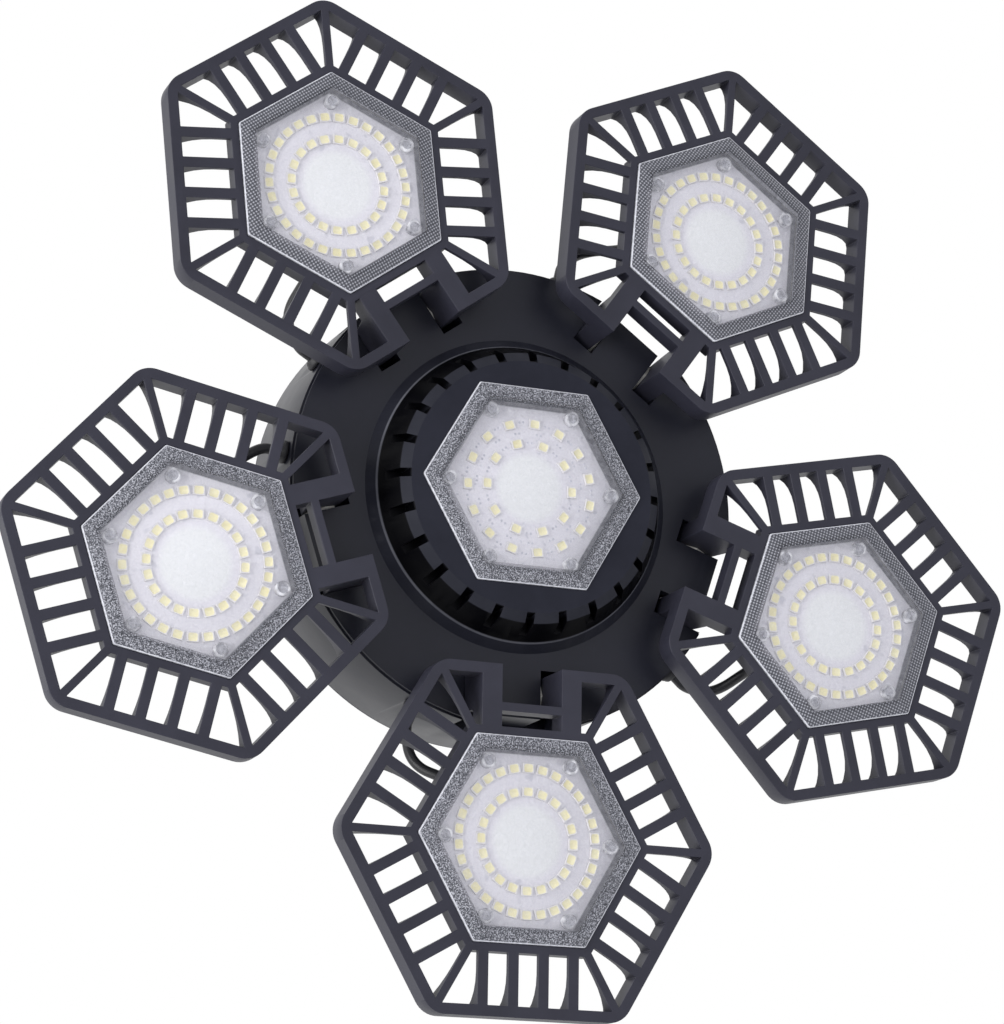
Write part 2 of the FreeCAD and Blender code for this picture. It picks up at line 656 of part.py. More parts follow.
def make_frame_pattern():
    """The frame that all panels share: ribbed hexagon with a tray for board and lens, and two ears."""
    body = new_body("frame_pattern")
    rim_sketch = new_sketch(body, "rim_outline", "XY_Plane", "lens_proud")
    draw_outline(rim_sketch, hexagon("(frame_flat / 2)"))
    rim = add(body, "rim", rim_sketch, "frame_depth")
    corners = [
        "Edge%d" % (number + 1)
        for number, edge in enumerate(rim.Shape.Edges)
        if edge.BoundBox.ZLength > size_of("frame_depth") / 2
    ]
    rounding = body.newObject("PartDesign::Fillet", "corner_rounding")
    rounding.Base = (rim, corners)
    rounding.setExpression("Radius", bind("corner_round"))
    doc.recompute()
    window_sketch = new_sketch(body, "window_outline", "XY_Plane", "lens_proud")
    draw_outline(window_sketch, hexagon(RIM_INNER_FLAT))
    cut(body, "window", window_sketch, "frame_depth", reverse=True)
    add_ribs(body)
    tray_sketch = new_sketch(body, "tray_outline", "XY_Plane", "lens_proud")
    draw_outline(tray_sketch, hexagon(BEZEL_FLAT))
    add(body, "tray", tray_sketch, "tray_depth")
    add_ears(body)
    seat_sketch = new_sketch(body, "lens_seat_outline", "XY_Plane", "lens_proud")
    draw_outline(seat_sketch, hexagon(LENS_SEAT_APOTHEM))
    cut(body, "lens_seat", seat_sketch, "lens_thickness - lens_proud", reverse=True)
    board_sketch = new_sketch(body, "board_seat_outline", "XY_Plane", "lens_proud")
    draw_outline(board_sketch, hexagon(BOARD_APOTHEM))
    board_depth = "lens_thickness - lens_proud + board_thickness"
    cut(body, "board_seat", board_sketch, board_depth, reverse=True)
    return body


def add_ribs(body):
    """A rib to each corner, and a row of ribs on each of the six sides."""
    corner_sketch = new_sketch(body, "corner_rib_outline", "XZ_Plane", None, (Y_ALONG, 30))
    draw_rib(corner_sketch, "1 / cos(30 deg)")
    corner_rib = add(body, "corner_rib", corner_sketch, "corner_rib_width", symmetric=True)
    repeat_round(body, "corner_ribs", [corner_rib], str(SIDES))
    rib_sketch = new_sketch(body, "rib_outline", "XZ_Plane", "(%d - 1) / 2 * rib_pitch" % RIBS_A_SIDE)
    draw_rib(rib_sketch, "1")
    rib = add(body, "rib", rib_sketch, "rib_width", symmetric=True)
    row = body.newObject("PartDesign::LinearPattern", "rib_row")
    row.Direction = (origin_part(body, "Y_Axis"), [""])
    row.setExpression("Length", bind("(%d - 1) * rib_pitch" % RIBS_A_SIDE))
    row.Occurrences = RIBS_A_SIDE
    ring = body.newObject("PartDesign::PolarPattern", "rib_ring")
    ring.Axis = (origin_part(body, "Z_Axis"), [""])
    ring.Angle = 360
    ring.Occurrences = SIDES
    ribs = body.newObject("PartDesign::MultiTransform", "ribs")
    ribs.Originals = [rib]
    ribs.Transformations = [row, ring]
    body.Tip = ribs
    doc.recompute()


def add_ears(body):
    """Opens the rim towards the hub and adds the two ears, their bosses and the crossbar."""
    gap_sketch = new_sketch(body, "ear_gap_outline", "XY_Plane", "lens_proud")
    outside = "-frame_flat / 2 - rim_width"
    draw_outline(gap_sketch, rectangle(outside, "-" + BEZEL_FLAT, "-" + EAR_FAR, EAR_FAR))
    cut(body, "ear_gap_cut", gap_sketch, "frame_depth", reverse=True)
    bar_sketch = new_sketch(body, "ear_bar_outline", "XY_Plane", "lens_proud")
    tray_overlap = "-" + BEZEL_FLAT + " + bezel_width / 2"
    draw_outline(bar_sketch, rectangle("-frame_flat / 2", tray_overlap, "-" + EAR_FAR, "-" + EAR_NEAR))
    bar = add(body, "ear_bar", bar_sketch, "frame_depth")
    leg_sketch = new_sketch(body, "ear_leg_outline", "XZ_Plane", EAR_NEAR)
    root_z = FRAME_BACK_Z + " - rim_width"
    draw_outline(leg_sketch, [
        ("-frame_flat / 2", root_z),
        ("-frame_flat / 2 + ear_root", root_z),
        ("-frame_flat / 2 + ear_root", FRAME_BACK_Z),
        ("-arm_length + boss_radius", "lens_drop"),
        ("-arm_length - boss_radius", "lens_drop"),
    ])
    leg = add(body, "ear_leg", leg_sketch, "ear_width")
    boss_sketch = new_sketch(body, "ear_boss_outline", "XZ_Plane", EAR_NEAR)
    draw_circle(boss_sketch, "-arm_length", "lens_drop", "boss_radius")
    boss = add(body, "ear_boss", boss_sketch, "ear_width")
    bore_sketch = new_sketch(body, "ear_bore_outline", "XZ_Plane", EAR_FAR)
    draw_circle(bore_sketch, "-arm_length", "lens_drop", "pin_radius + pin_clearance")
    bore = cut(body, "ear_bore", bore_sketch, "ear_width")
    mirror_sideways(body, "second_ear", [bar, leg, boss, bore])
    cross_sketch = new_sketch(body, "crossbar_outline", "XY_Plane", "lens_proud")
    cross_end = "-" + BEZEL_FLAT + " - crossbar_gap"
    reach = EAR_NEAR + " + ear_width / 2"
    draw_outline(cross_sketch, rectangle(cross_end + " - crossbar_width", cross_end,
                                         "-(" + reach + ")", reach))
    add(body, "crossbar", cross_sketch, "crossbar_depth")


def make_frame(pattern, panel):
    """A panel's frame: the shared pattern with the hole for its cable's gland."""
    body = new_body("panel_frame_" + panel)
    body.BaseFeature = pattern
    doc.recompute()
    gland_sketch = new_sketch(body, "gland_hole_outline_" + panel, "XY_Plane", TRAY_BACK_Z)
    side = "%d * gland_place_y" % CABLE_SIGN[panel]
    plug_room = "(grommet_plug_radius + grommet_clearance)"
    draw_outline(gland_sketch, polygon(BORE_SIDES, plug_room, 0, "gland_place_x", side))
    cut(body, "gland_hole_" + panel, gland_sketch, "tray_depth / 2")
    body.Placement = panel_placement(panel)
    return body


# ---------------------------------------------------------------- small parts


def make_pins_and_washers():
    """Hinge pins and friction washers of the five hinges."""
    pins = []
    washers = []
    pin_radius = size_of("pin_radius")
    reach = size_of("pin_reach")
    play = size_of("washer_play")
    near = size_of("lug_half_width") + play
    thickness = size_of(EAR_NEAR) - play - near
    for panel in PANELS:
        place = hinge_placement(panel)
        pin = Part.makeCylinder(pin_radius, 2 * reach, VECTOR(0, -reach, 0), Y_ALONG)
        pins.append(moved(pin, place))
        for start in (near, -near - thickness):
            base = VECTOR(0, start, 0)
            along = Y_ALONG * thickness
            washer = prism(BORE_SIDES, size_of("washer_radius"), base, along)
            bore = prism(BORE_SIDES, size_of("pin_radius + pin_clearance"), base, along)
            washers.append(moved(washer.cut(bore), place))
    return [
        shape_part("hinge_pins", Part.makeCompound(pins)),
        shape_part("friction_washers", Part.makeCompound(washers)),
    ]


def moved(shape, placement):
    """The shape carried by a placement."""
    copy = shape.copy()
    copy.Placement = placement.multiply(copy.Placement)
    return copy


def ring_of_points(sides, radius, centre, normal):
    """Corners of a regular polygon round centre, square to normal."""
    turn = FreeCAD.Rotation(Z_UP, normal)
    corners = []
    for step in range(sides):
        angle = 2 * math.pi * step / sides
        spoke = VECTOR(radius * math.cos(angle), radius * math.sin(angle), 0)
        corners.append(centre + turn.multVec(spoke))
    return corners


def prism(sides, apothem, base, along):
    """A prism with flats at apothem, from base along a vector."""
    radius = apothem / math.cos(math.pi / sides)
    corners = ring_of_points(sides, radius, base, along)
    return Part.Face(Part.makePolygon(corners + corners[:1])).extrude(along)


def make_grommets():
    """Grommets in the skirt, one where each cable leaves the hub."""
    wall = size_of("hub_wall")
    height = size_of("grommet_height")
    lift = size_of("grommet_clearance")
    solids = []
    for panel in PANELS:
        point, outward = cable_exit(panel)
        inside = point - outward * wall
        base = point + outward * lift
        plug_radius = size_of("grommet_plug_radius")
        plug = prism(BORE_SIDES, plug_radius, inside, outward * (wall + lift + height))
        collar = prism(BORE_SIDES, size_of("grommet_radius"), base, outward * height)
        bore_radius = size_of("cable_radius + cable_fit")
        bore = prism(BORE_SIDES, bore_radius, inside, outward * 2 * (wall + height))
        solids.append(plug.fuse(collar).removeSplitter().cut(bore))
    return shape_part("cable_grommets", Part.makeCompound(solids))


def make_gland(panel):
    """Gland on the back of a panel's tray, where its cable goes in."""
    body = new_body("cable_gland_" + panel)
    x = "gland_place_x"
    y = "%d * gland_place_y" % CABLE_SIGN[panel]
    plug_sketch = new_sketch(body, "gland_plug_outline_" + panel, "XY_Plane", TRAY_BACK_Z)
    draw_outline(plug_sketch, polygon(BORE_SIDES, "grommet_plug_radius", 0, x, y))
    floor = "tray_depth + lens_proud - lens_thickness - board_thickness"
    add(body, "gland_plug_" + panel, plug_sketch, floor, reverse=True)
    collar_sketch = new_sketch(body, "gland_collar_outline_" + panel, "XY_Plane", TRAY_BACK_Z)
    draw_outline(collar_sketch, polygon(BORE_SIDES, "grommet_radius", 0, x, y))
    add(body, "gland_collar_" + panel, collar_sketch, "grommet_height")
    bore_sketch = new_sketch(body, "gland_bore_outline_" + panel, "XY_Plane",
                             TRAY_BACK_Z + " + grommet_height")
    draw_outline(bore_sketch, polygon(BORE_SIDES, "(cable_radius + cable_fit)", 0, x, y))
    cut(body, "gland_bore_" + panel, bore_sketch, "grommet_height + tray_depth")
    body.Placement = panel_placement(panel)
    return body


def round_corners(points):
    """Straight runs joined by tangent arcs: the points along them, and the arcs' radii."""
    path = [points[0]]
    radii = []
    last = len(points) - 2
    for step in range(1, len(points) - 1):
        corner = points[step]
        to_start = points[step - 1] - corner
        to_end = points[step + 1] - corner
        room_before = to_start.Length * (0.95 if step == 1 else 0.45)
        room_after = to_end.Length * (0.95 if step == last else 0.45)
        reach = min(room_before, room_after)
        half_turn = (math.pi - to_start.getAngle(to_end)) / 2
        bend = reach / math.tan(half_turn)
        to_start.normalize()
        to_end.normalize()
        arc_start = corner + to_start * reach
        centre = corner + (to_start + to_end).normalize() * (bend / math.cos(half_turn))
        axis = to_start.cross(to_end)
        swing = FreeCAD.Rotation(axis, -math.degrees(2 * half_turn / BEND_CHORDS))
        spoke = arc_start - centre
        for chord in range(BEND_CHORDS + 1):
            path.append(centre + spoke)
            spoke = swing.multVec(spoke)
        radii.append(bend)
    path.append(points[-1])
    return path, radii


def tube_along(points, radius):
    """A cable with flat sides along rounded corners, with its length and bend radii."""
    path, radii = round_corners(points)
    runs = [after - before for before, after in zip(path, path[1:])]
    length = sum(run.Length for run in runs)
    ahead = [run / run.Length for run in runs]
    ring = ring_of_points(CABLE_SIDES, radius, path[0], ahead[0])
    rings = [ring]
    for step, direction in enumerate(ahead):
        following = ahead[min(step + 1, len(ahead) - 1)]
        mitre = (direction + following).normalize()
        end = path[step + 1]
        slide = [(end - corner).dot(mitre) / direction.dot(mitre) for corner in ring]
        ring = [corner + direction * reach for corner, reach in zip(ring, slide)]
        rings.append(ring)
    faces = [Part.Face(Part.makePolygon(end + end[:1])) for end in (rings[0], rings[-1])]
    for near, far in zip(rings, rings[1:]):
        for side in range(CABLE_SIDES):
            other = (side + 1) % CABLE_SIDES
            corners = [near[side], near[other], far[other], far[side], near[side]]
            faces.append(Part.Face(Part.makePolygon(corners)))
    tube = Part.Solid(Part.Shell(faces))
    if tube.Volume < 0:
        tube.reverse()
    tube.fix(1e-6, 1e-7, 1e-5)
    return tube, length, radii


def make_cable(panel):
    """The cable from the driver board through the skirt and in a loop to the panel's lamp board."""
    sign = CABLE_SIGN[panel]
    exit_point, outward = cable_exit(panel)
    inner = outward * size_of("cable_end_radius")
    inner.z = exit_point.z
    top = VECTOR(inner.x, inner.y, size_of(DRIVER_Z))
    clear = exit_point + outward * size_of("grommet_clearance + grommet_height + knee_run")
    knee = VECTOR(size_of("knee_x"), sign * size_of("knee_y"), size_of("knee_z"))
    gland_x = size_of("gland_place_x")
    gland_y = sign * size_of("gland_place_y")
    over_z = size_of(TRAY_BACK_Z + " + grommet_height + gland_run")
    board_z = size_of("lens_thickness + board_thickness")
    frame = panel_placement(panel)
    points = [
        top,
        inner,
        clear,
        hinge_placement(panel).multVec(knee),
        frame.multVec(VECTOR(gland_x, gland_y, over_z)),
        frame.multVec(VECTOR(gland_x, gland_y, board_z)),
    ]
    radius = size_of("cable_radius")
    tube, length, radii = tube_along(points, radius)
    bends = ", ".join("%.1f" % bend for bend in radii)
    section = CABLE_SIDES / 2 * radius ** 2 * math.sin(2 * math.pi / CABLE_SIDES)
    expected = section * length
    print("cable_%s: length %.1f, bend radii %s, volume %.1f against %.1f"
          % (panel, length, bends, tube.Volume, expected))
    return shape_part("cable_" + panel, tube)


def make_hub_lamp_cable():
    """Straight cable from the hub's lamp board to the driver board."""
    start = size_of(DRUM_FACE_Z + " + lens_thickness - lens_proud + board_thickness")
    along = VECTOR(0, 0, size_of(DRIVER_Z) - start)
    apothem = size_of("cable_radius") * math.cos(math.pi / CABLE_SIDES)
    return shape_part("hub_lamp_cable", prism(CABLE_SIDES, apothem, VECTOR(0, 0, start), along))


def make_driver():
    """Driver board with its transformer and film capacitors, and the leads up to the cap."""
    radius = size_of("driver_radius")
    thickness = size_of("driver_board_thickness")
    floor = size_of(DRIVER_Z)
    top = floor + thickness
    board = prism(BORE_SIDES, radius, VECTOR(0, 0, floor), VECTOR(0, 0, thickness))
    side = size_of("transformer_size")
    height = size_of("transformer_height")
    transformer = Part.makeBox(side, side, height, VECTOR(-side - side / 4, -side / 2, top))
    can = size_of("capacitor_side")
    can_height = size_of("capacitor_height")
    capacitors = [
        Part.makeBox(can, can, can_height, VECTOR(radius / 3, place * 1.2 * can - can / 2, top))
        for place in (-0.5, 0.5)
    ]
    lead = size_of("lead_radius")
    seat = size_of("-collar_height")
    spacing = size_of("neck_top_radius / 4")
    leads = [
        prism(CABLE_SIDES, lead, VECTOR(x, 0, top), VECTOR(0, 0, seat - top)) for x in (0, spacing)
    ]
    turn = FreeCAD.Placement(VECTOR(), FreeCAD.Rotation(Z_UP, size_of("first_azimuth")))
    return [
        shape_part("driver_board", board, turn),
        shape_part("driver_transformer", transformer, turn),
        shape_part("driver_capacitors", Part.makeCompound(capacitors), turn),
        shape_part("cap_leads", Part.makeCompound(leads), turn),
    ]


def make_cover_screws():
    """The screws that hold the rear cover."""
    back = size_of(BACK_Z)
    grip = size_of("hub_wall + screw_grip")
    screws = []
    for panel in PANELS:
        outward = FreeCAD.Rotation(Z_UP, azimuth_of(panel)).multVec(VECTOR(1, 0, 0))
        place = outward * size_of(SCREW_CIRCLE)
        foot = VECTOR(place.x, place.y, back - grip)
        under_head = VECTOR(place.x, place.y, back)
        shank = prism(SIDES, size_of("screw_radius"), foot, VECTOR(0, 0, grip))
        head_height = VECTOR(0, 0, size_of("screw_head_height"))
        head = prism(BORE_SIDES, size_of("screw_head_radius"), under_head, head_height)
        shank.rotate(place, Z_UP, azimuth_of(panel))
        screws.append(shank.fuse(head).removeSplitter())
    return shape_part("cover_screws", Part.makeCompound(screws))


# ---------------------------------------------------------------- assembly


def build_all():
    parts = [make_hub_housing(make_hub_shell()), make_rear_cover(), make_drum()]
    parts += make_cap()
    parts += make_pins_and_washers()
    parts += make_driver()
    parts.append(make_hub_lamp_cable())
    parts += [make_grommets(), make_cover_screws()]
    hub_front = FreeCAD.Placement(VECTOR(0, 0, size_of(HUB_LENS_Z)), FreeCAD.Rotation())
    parts.append(make_lens("hub_lens", hub_front, 0))
    parts.append(make_board("hub_lamp_board", hub_front, 0))
    hub_rings = [
        (size_of("hub_outer_ring_radius"), HUB_OUTER_RING_CHIPS),
        (size_of("hub_inner_ring_radius"), HUB_INNER_RING_CHIPS),
    ]
    parts.append(make_chips("hub_lamp_chips", hub_front, hub_rings))
    panel_rings = [
        (size_of("outer_ring_radius"), OUTER_RING_CHIPS),
        (size_of("inner_ring_radius"), INNER_RING_CHIPS),
    ]
    pattern = make_frame_pattern()
    for panel in PANELS:
        place = panel_placement(panel)
        parts.append(make_frame(pattern, panel))
        parts.append(make_lens("panel_lens_" + panel, place, 30))
        parts.append(make_board("lamp_board_" + panel, place, 30))
        parts.append(make_chips("lamp_chips_" + panel, place, panel_rings))
        parts.append(make_gland(panel))
        parts.append(make_cable(panel))
    return parts


def check_document():
    doc.recompute()
    for item in doc.Objects:
        if "Invalid" in item.State or "Error" in item.State:
            raise RuntimeError("failed: " + item.Label + " " + str(item.State))


def export(parts):
    os.makedirs("parts", exist_ok=True)
    for part in parts:
        shape = part.Shape
        if shape.isNull() or not shape.isValid() or shape.Volume <= 0:
            raise RuntimeError("bad shape: " + part.Label)
        shape.exportStep("parts/" + part.Label + ".step")
        print("%-22s %d solids %10.1f mm3" % (part.Label, len(shape.Solids), shape.Volume))


sub_parts = build_all()
check_document()
export(sub_parts)
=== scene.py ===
import math

import bpy
from mathutils import Matrix, Vector


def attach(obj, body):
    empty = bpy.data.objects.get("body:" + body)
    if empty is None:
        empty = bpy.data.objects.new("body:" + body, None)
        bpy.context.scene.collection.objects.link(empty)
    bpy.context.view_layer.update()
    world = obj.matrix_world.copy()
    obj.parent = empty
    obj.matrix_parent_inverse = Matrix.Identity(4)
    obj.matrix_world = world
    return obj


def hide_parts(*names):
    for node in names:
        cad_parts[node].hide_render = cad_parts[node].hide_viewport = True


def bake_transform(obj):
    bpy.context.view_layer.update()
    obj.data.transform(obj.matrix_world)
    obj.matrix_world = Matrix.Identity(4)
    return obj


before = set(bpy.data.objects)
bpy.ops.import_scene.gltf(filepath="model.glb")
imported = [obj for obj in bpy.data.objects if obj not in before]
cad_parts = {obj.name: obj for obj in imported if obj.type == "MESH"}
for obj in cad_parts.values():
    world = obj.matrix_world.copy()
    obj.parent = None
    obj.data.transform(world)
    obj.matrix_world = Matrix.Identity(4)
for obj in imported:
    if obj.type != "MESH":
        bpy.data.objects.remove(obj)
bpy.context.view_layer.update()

# The lamp hangs by its cap and faces down, with Z up and the hub's axis on Z. Sizes are in
# millimetres. Distances inside a material are in metres, as Blender has them.
MM = 0.001
Z_UP = Vector((0, 0, 1))
# direction and fold at rest of each panel, in degrees
PANELS = {"a": (234.0, 2.0), "b": (306.0, 3.5), "c": (18.0, 0.0), "d": (90.0, 0.5), "e": (162.0, 4.0)}
# panels whose lens border shows a mesh of dots, the others' is grained
MESHED_PANELS = "abc"
# the side of its hinge on which a panel's cable runs
CABLE_SIDE = {"a": -1, "b": -1, "c": 1, "d": 1, "e": 1}
# direction of the first corner of a panel's and of the hub's hexagons, in degrees
PANEL_CORNER = 30
HUB_CORNER = 0

HINGE_RADIUS = 58.0
HINGE_Z = -63.4
# from a hinge to the middle of its panel, and down to the front of the panel's lens
ARM_LENGTH = 43.9
LENS_DROP = 20.5
HUB_LENS_Z = -82.5
HUB_RADIUS = 68.5
# the outside of the rear cover
BACK_Z = -32.0
VENT_COUNT = 24

# depth of a lamp board's front behind the front of its lens
BOARD_DEPTH = 4.0
# where a panel's cable enters its gland: towards the hinge, and sideways
GLAND_BACK = -17.5
GLAND_SIDE = 19.5
GLAND_DEPTH = 6.5
# where a cable leaves the skirt: sideways from the hinge's middle, and above the hinge
PORT_SIDE = 27.5
PORT_RISE = 1.0
CABLE_RADIUS = 1.5


# ---------------------------------------------------------------- places

def turn(degrees, axis):
    return Matrix.Rotation(math.radians(degrees), 4, axis)


def shift(x, y, z):
    return Matrix.Translation(Vector((x, y, z)))


def hinge_place(panel):
    """Place of a panel's hinge: X outwards, Y along the pin."""
    return turn(PANELS[panel][0], "Z") @ shift(HINGE_RADIUS, 0, HINGE_Z)


def panel_place(panel):
    """Place of the front of a panel's lens: Z towards the panel's back."""
    fold = turn(-PANELS[panel][1], "Y")
    return hinge_place(panel) @ fold @ shift(ARM_LENGTH, 0, -LENS_DROP)


HUB_FRONT = shift(0, 0, HUB_LENS_Z)
ORIGIN = Matrix.Identity(4)


def in_metres(place):
    """The same place for a mesh that is in metres."""
    made = place.copy()
    made.translation = place.translation * MM
    return made


# ---------------------------------------------------------------- materials

# the part of a noise pattern's range that its values usually fill
PATTERN_LOW = 0.3
PATTERN_HIGH = 0.7
# the mix node's sockets for two colours and for the colour between them
COLOUR_A = 6
COLOUR_B = 7
COLOUR_OUT = 2
# height of fine grain
GRAIN_HEIGHT = 0.0002
BOARD_GRAIN_HEIGHT = 0.0001
# how far the frosted disc of a board fades out on both sides of its edge, and the white mask
DISC_FADE_INSIDE = 0.0012
DISC_FADE_OUTSIDE = 0.0010
MASK_FADE = 0.0002
# zones of the drum: the distance from its axis at which each ends, and the fade between two
FACE_END = 0.0370
CHAMFER_END = 0.0399
WALL_END = 0.0437
# the painted highlight round the drum's foot lies between the wall's end and this
FOOT_HIGHLIGHT_END = 0.0441
ZONE_FADE_INSIDE = 0.00015
ZONE_FADE_OUTSIDE = 0.00005


def srgb(red, green, blue):
    """Linear colour of an 8 bit display colour."""
    parts = []
    for value in (red, green, blue):
        value = value / 255
        parts.append(value / 12.92 if value <= 0.04045 else ((value + 0.055) / 1.055) ** 2.4)
    return (*parts, 1.0)


class Paint:
    """A procedural material; its patterns lie in the piece's own coordinates."""

    def __init__(self, name):
        self.material = bpy.data.materials.new(name)
        self.material.use_nodes = True
        self.tree = self.material.node_tree
        self.shader = self.tree.nodes["Principled BSDF"]
        self.place = self.tree.nodes.new("ShaderNodeTexCoord").outputs["Object"]

    def node(self, kind, **settings):
        made = self.tree.nodes.new(kind)
        for key, value in settings.items():
            setattr(made, key, value)
        return made

    def link(self, source, target):
        self.tree.links.new(source, target)

    def noise(self, scale, detail, rough):
        made = self.node("ShaderNodeTexNoise")
        made.inputs["Scale"].default_value = scale
        made.inputs["Detail"].default_value = detail
        made.inputs["Roughness"].default_value = rough
        self.link(self.place, made.inputs["Vector"])
        return made.outputs["Fac"]

    def spread(self, source, low, high, start=PATTERN_LOW, end=PATTERN_HIGH):
        """Maps a pattern between start and end to values from low to high."""
        made = self.node("ShaderNodeMapRange")
        for key, value in (("From Min", start), ("From Max", end), ("To Min", low), ("To Max", high)):
            made.inputs[key].default_value = value
        self.link(source, made.inputs["Value"])
        return made.outputs["Result"]

    def ramp(self, source, stops):
        """Maps a pattern to colours; stops holds positions and colours."""
        made = self.node("ShaderNodeValToRGB")
        elements = made.color_ramp.elements
        elements[0].position, elements[0].color = stops[0]
        elements[1].position, elements[1].color = stops[-1]
        for position, colour in stops[1:-1]:
            elements.new(position).color = colour
        self.link(source, made.inputs["Fac"])
        return made.outputs["Color"]

    def shades(self, source, dark, light):
        """Maps a noise pattern to the shades between two colours."""
        return self.ramp(source, [(PATTERN_LOW, dark), (PATTERN_HIGH, light)])

    def mix(self, share, first, second):
        """The first colour where the share is zero, the second where it is one."""
        made = self.node("ShaderNodeMix", data_type="RGBA")
        self.link(share, made.inputs["Factor"])
        for socket, colour in ((COLOUR_A, first), (COLOUR_B, second)):
            if isinstance(colour, tuple):
                made.inputs[socket].default_value = colour
            else:
                self.link(colour, made.inputs[socket])
        return made.outputs[COLOUR_OUT]

    def math(self, operation, first, second=None):
        made = self.node("ShaderNodeMath", operation=operation)
        for socket, value in zip(made.inputs, (first, second)):
            if isinstance(value, (int, float)):
                socket.default_value = value
            elif value is not None:
                self.link(value, socket)
        return made.outputs[0]

    def bumps(self, source, strength, height):
        made = self.node("ShaderNodeBump")
        made.inputs["Strength"].default_value = strength
        made.inputs["Distance"].default_value = height
        self.link(source, made.inputs["Height"])
        self.link(made.outputs["Normal"], self.shader.inputs["Normal"])

    def set(self, **values):
        for key, value in values.items():
            self.shader.inputs[key.replace("_", " ")].default_value = value

    def feed(self, **sources):
        for key, source in sources.items():
            self.link(source, self.shader.inputs[key.replace("_", " ")])

    def across(self):
        """Distance from the piece's own Z axis."""
        flat = self.node("ShaderNodeVectorMath", operation="MULTIPLY")
        flat.inputs[1].default_value = (1, 1, 0)
        self.link(self.place, flat.inputs[0])
        length = self.node("ShaderNodeVectorMath", operation="LENGTH")
        self.link(flat.outputs["Vector"], length.inputs[0])
        return length.outputs["Value"]

    def to_flats(self, first_corner):
        """Distance from the middle of a hexagon towards its flats."""
        reach = None
        for side in range(3):
            angle = math.radians(first_corner + 30 + 60 * side)
            dot = self.node("ShaderNodeVectorMath", operation="DOT_PRODUCT")
            dot.inputs[1].default_value = (math.cos(angle), math.sin(angle), 0)
            self.link(self.place, dot.inputs[0])
            flat = self.math("ABSOLUTE", dot.outputs["Value"])
            reach = flat if reach is None else self.math("MAXIMUM", reach, flat)
        return reach


def surface(name, dark, light, rough, grain=1400.0, bump=0.06, metallic=0.0, cloud=45.0, specular=0.5):
    """A moulded, coated or turned surface: faint clouds of colour, uneven gloss, fine grain.

    Grain and cloud are the scales of the two patterns."""
    paint = Paint(name)
    clouds = paint.noise(cloud, detail=4.0, rough=0.65)
    fine = paint.noise(grain, detail=2.0, rough=0.5)
    paint.feed(Base_Color=paint.shades(clouds, dark, light))
    paint.feed(Roughness=paint.spread(clouds, *rough))
    paint.set(Metallic=metallic, Specular_IOR_Level=specular)
    paint.bumps(fine, bump, GRAIN_HEIGHT)
    return paint.material


def lens_border(name, meshed, first_corner, opacity, start, end):
    """The lens's bevel: grained, or covered with rows of fine dots.

    It is clearer at the window, where it has the opacity given, and turns nearly opaque between
    the start and end distances from the middle."""
    paint = Paint(name)
    reach = paint.to_flats(first_corner)
    if meshed:
        dots = paint.node("ShaderNodeTexVoronoi", voronoi_dimensions="2D")
        dots.inputs["Scale"].default_value = 1150.0
        dots.inputs["Randomness"].default_value = 0.1
        paint.link(paint.place, dots.inputs["Vector"])
        pattern = paint.spread(dots.outputs["Distance"], 1.0, 0.0, start=0.1, end=0.5)
        stops = [(0.0, srgb(62, 63, 70)), (0.5, srgb(108, 109, 116)), (1.0, srgb(182, 183, 190))]
    else:
        grain = paint.noise(2800.0, detail=1.0, rough=0.5)
        pattern = paint.spread(grain, 0.0, 1.0, start=0.36, end=0.66)
        stops = [(0.0, srgb(46, 47, 54)), (0.5, srgb(102, 103, 110)), (1.0, srgb(184, 185, 192))]
    paint.feed(Base_Color=paint.ramp(pattern, stops))
    paint.feed(Alpha=paint.spread(reach, opacity, 0.95, start, end))
    paint.set(Roughness=0.34)
    paint.bumps(pattern, 0.25, GRAIN_HEIGHT)
    return paint.material


def clear_part(name, dark, light, opacity, rough, size=900.0, detail=2.0, mottle=0.5):
    """Clear moulded plastic seen as a thin, faintly hazy skin; wide shades paint glints in its mottling.
    """
    paint = Paint(name)
    haze_and_painted_glints = paint.noise(size, detail, mottle)
    paint.feed(Base_Color=paint.shades(haze_and_painted_glints, dark, light))
    paint.feed(Alpha=paint.spread(haze_and_painted_glints, *opacity))
    paint.set(Roughness=rough)
    paint.bumps(haze_and_painted_glints, 0.05, GRAIN_HEIGHT)
    return paint.material


def board_face(name, first_corner, disc_radius, mark_scale, mask_edge):
    """White solder mask, with a brighter frosted disc in the middle and faint printed marks.

    The mask edge is the distance from the middle to the flats of the white hexagon. The board is
    bare grey beyond it."""
    paint = Paint(name)
    grain = paint.noise(1500.0, detail=2.0, rough=0.6)
    mask = paint.shades(grain, srgb(214, 212, 220), srgb(228, 226, 231))
    frosted = paint.shades(grain, srgb(224, 226, 226), srgb(235, 236, 235))
    bare = paint.shades(grain, srgb(70, 71, 78), srgb(88, 89, 96))
    blots = paint.noise(mark_scale, detail=1.0, rough=0.4)
    marked = paint.mix(paint.spread(blots, 0.0, 1.0, start=0.66, end=0.74), mask, srgb(196, 195, 204))
    fade = (disc_radius - DISC_FADE_INSIDE, disc_radius + DISC_FADE_OUTSIDE)
    in_disc = paint.spread(paint.across(), 1.0, 0.0, *fade)
    whole = paint.mix(in_disc, marked, frosted)
    reach = paint.to_flats(first_corner)
    past_mask = paint.spread(reach, 0.0, 1.0, mask_edge - MASK_FADE, mask_edge + MASK_FADE)
    paint.feed(Base_Color=paint.mix(past_mask, whole, bare))
    paint.feed(Roughness=paint.spread(grain, 0.45, 0.6))
    paint.bumps(grain, 0.08, BOARD_GRAIN_HEIGHT)
    return paint.material


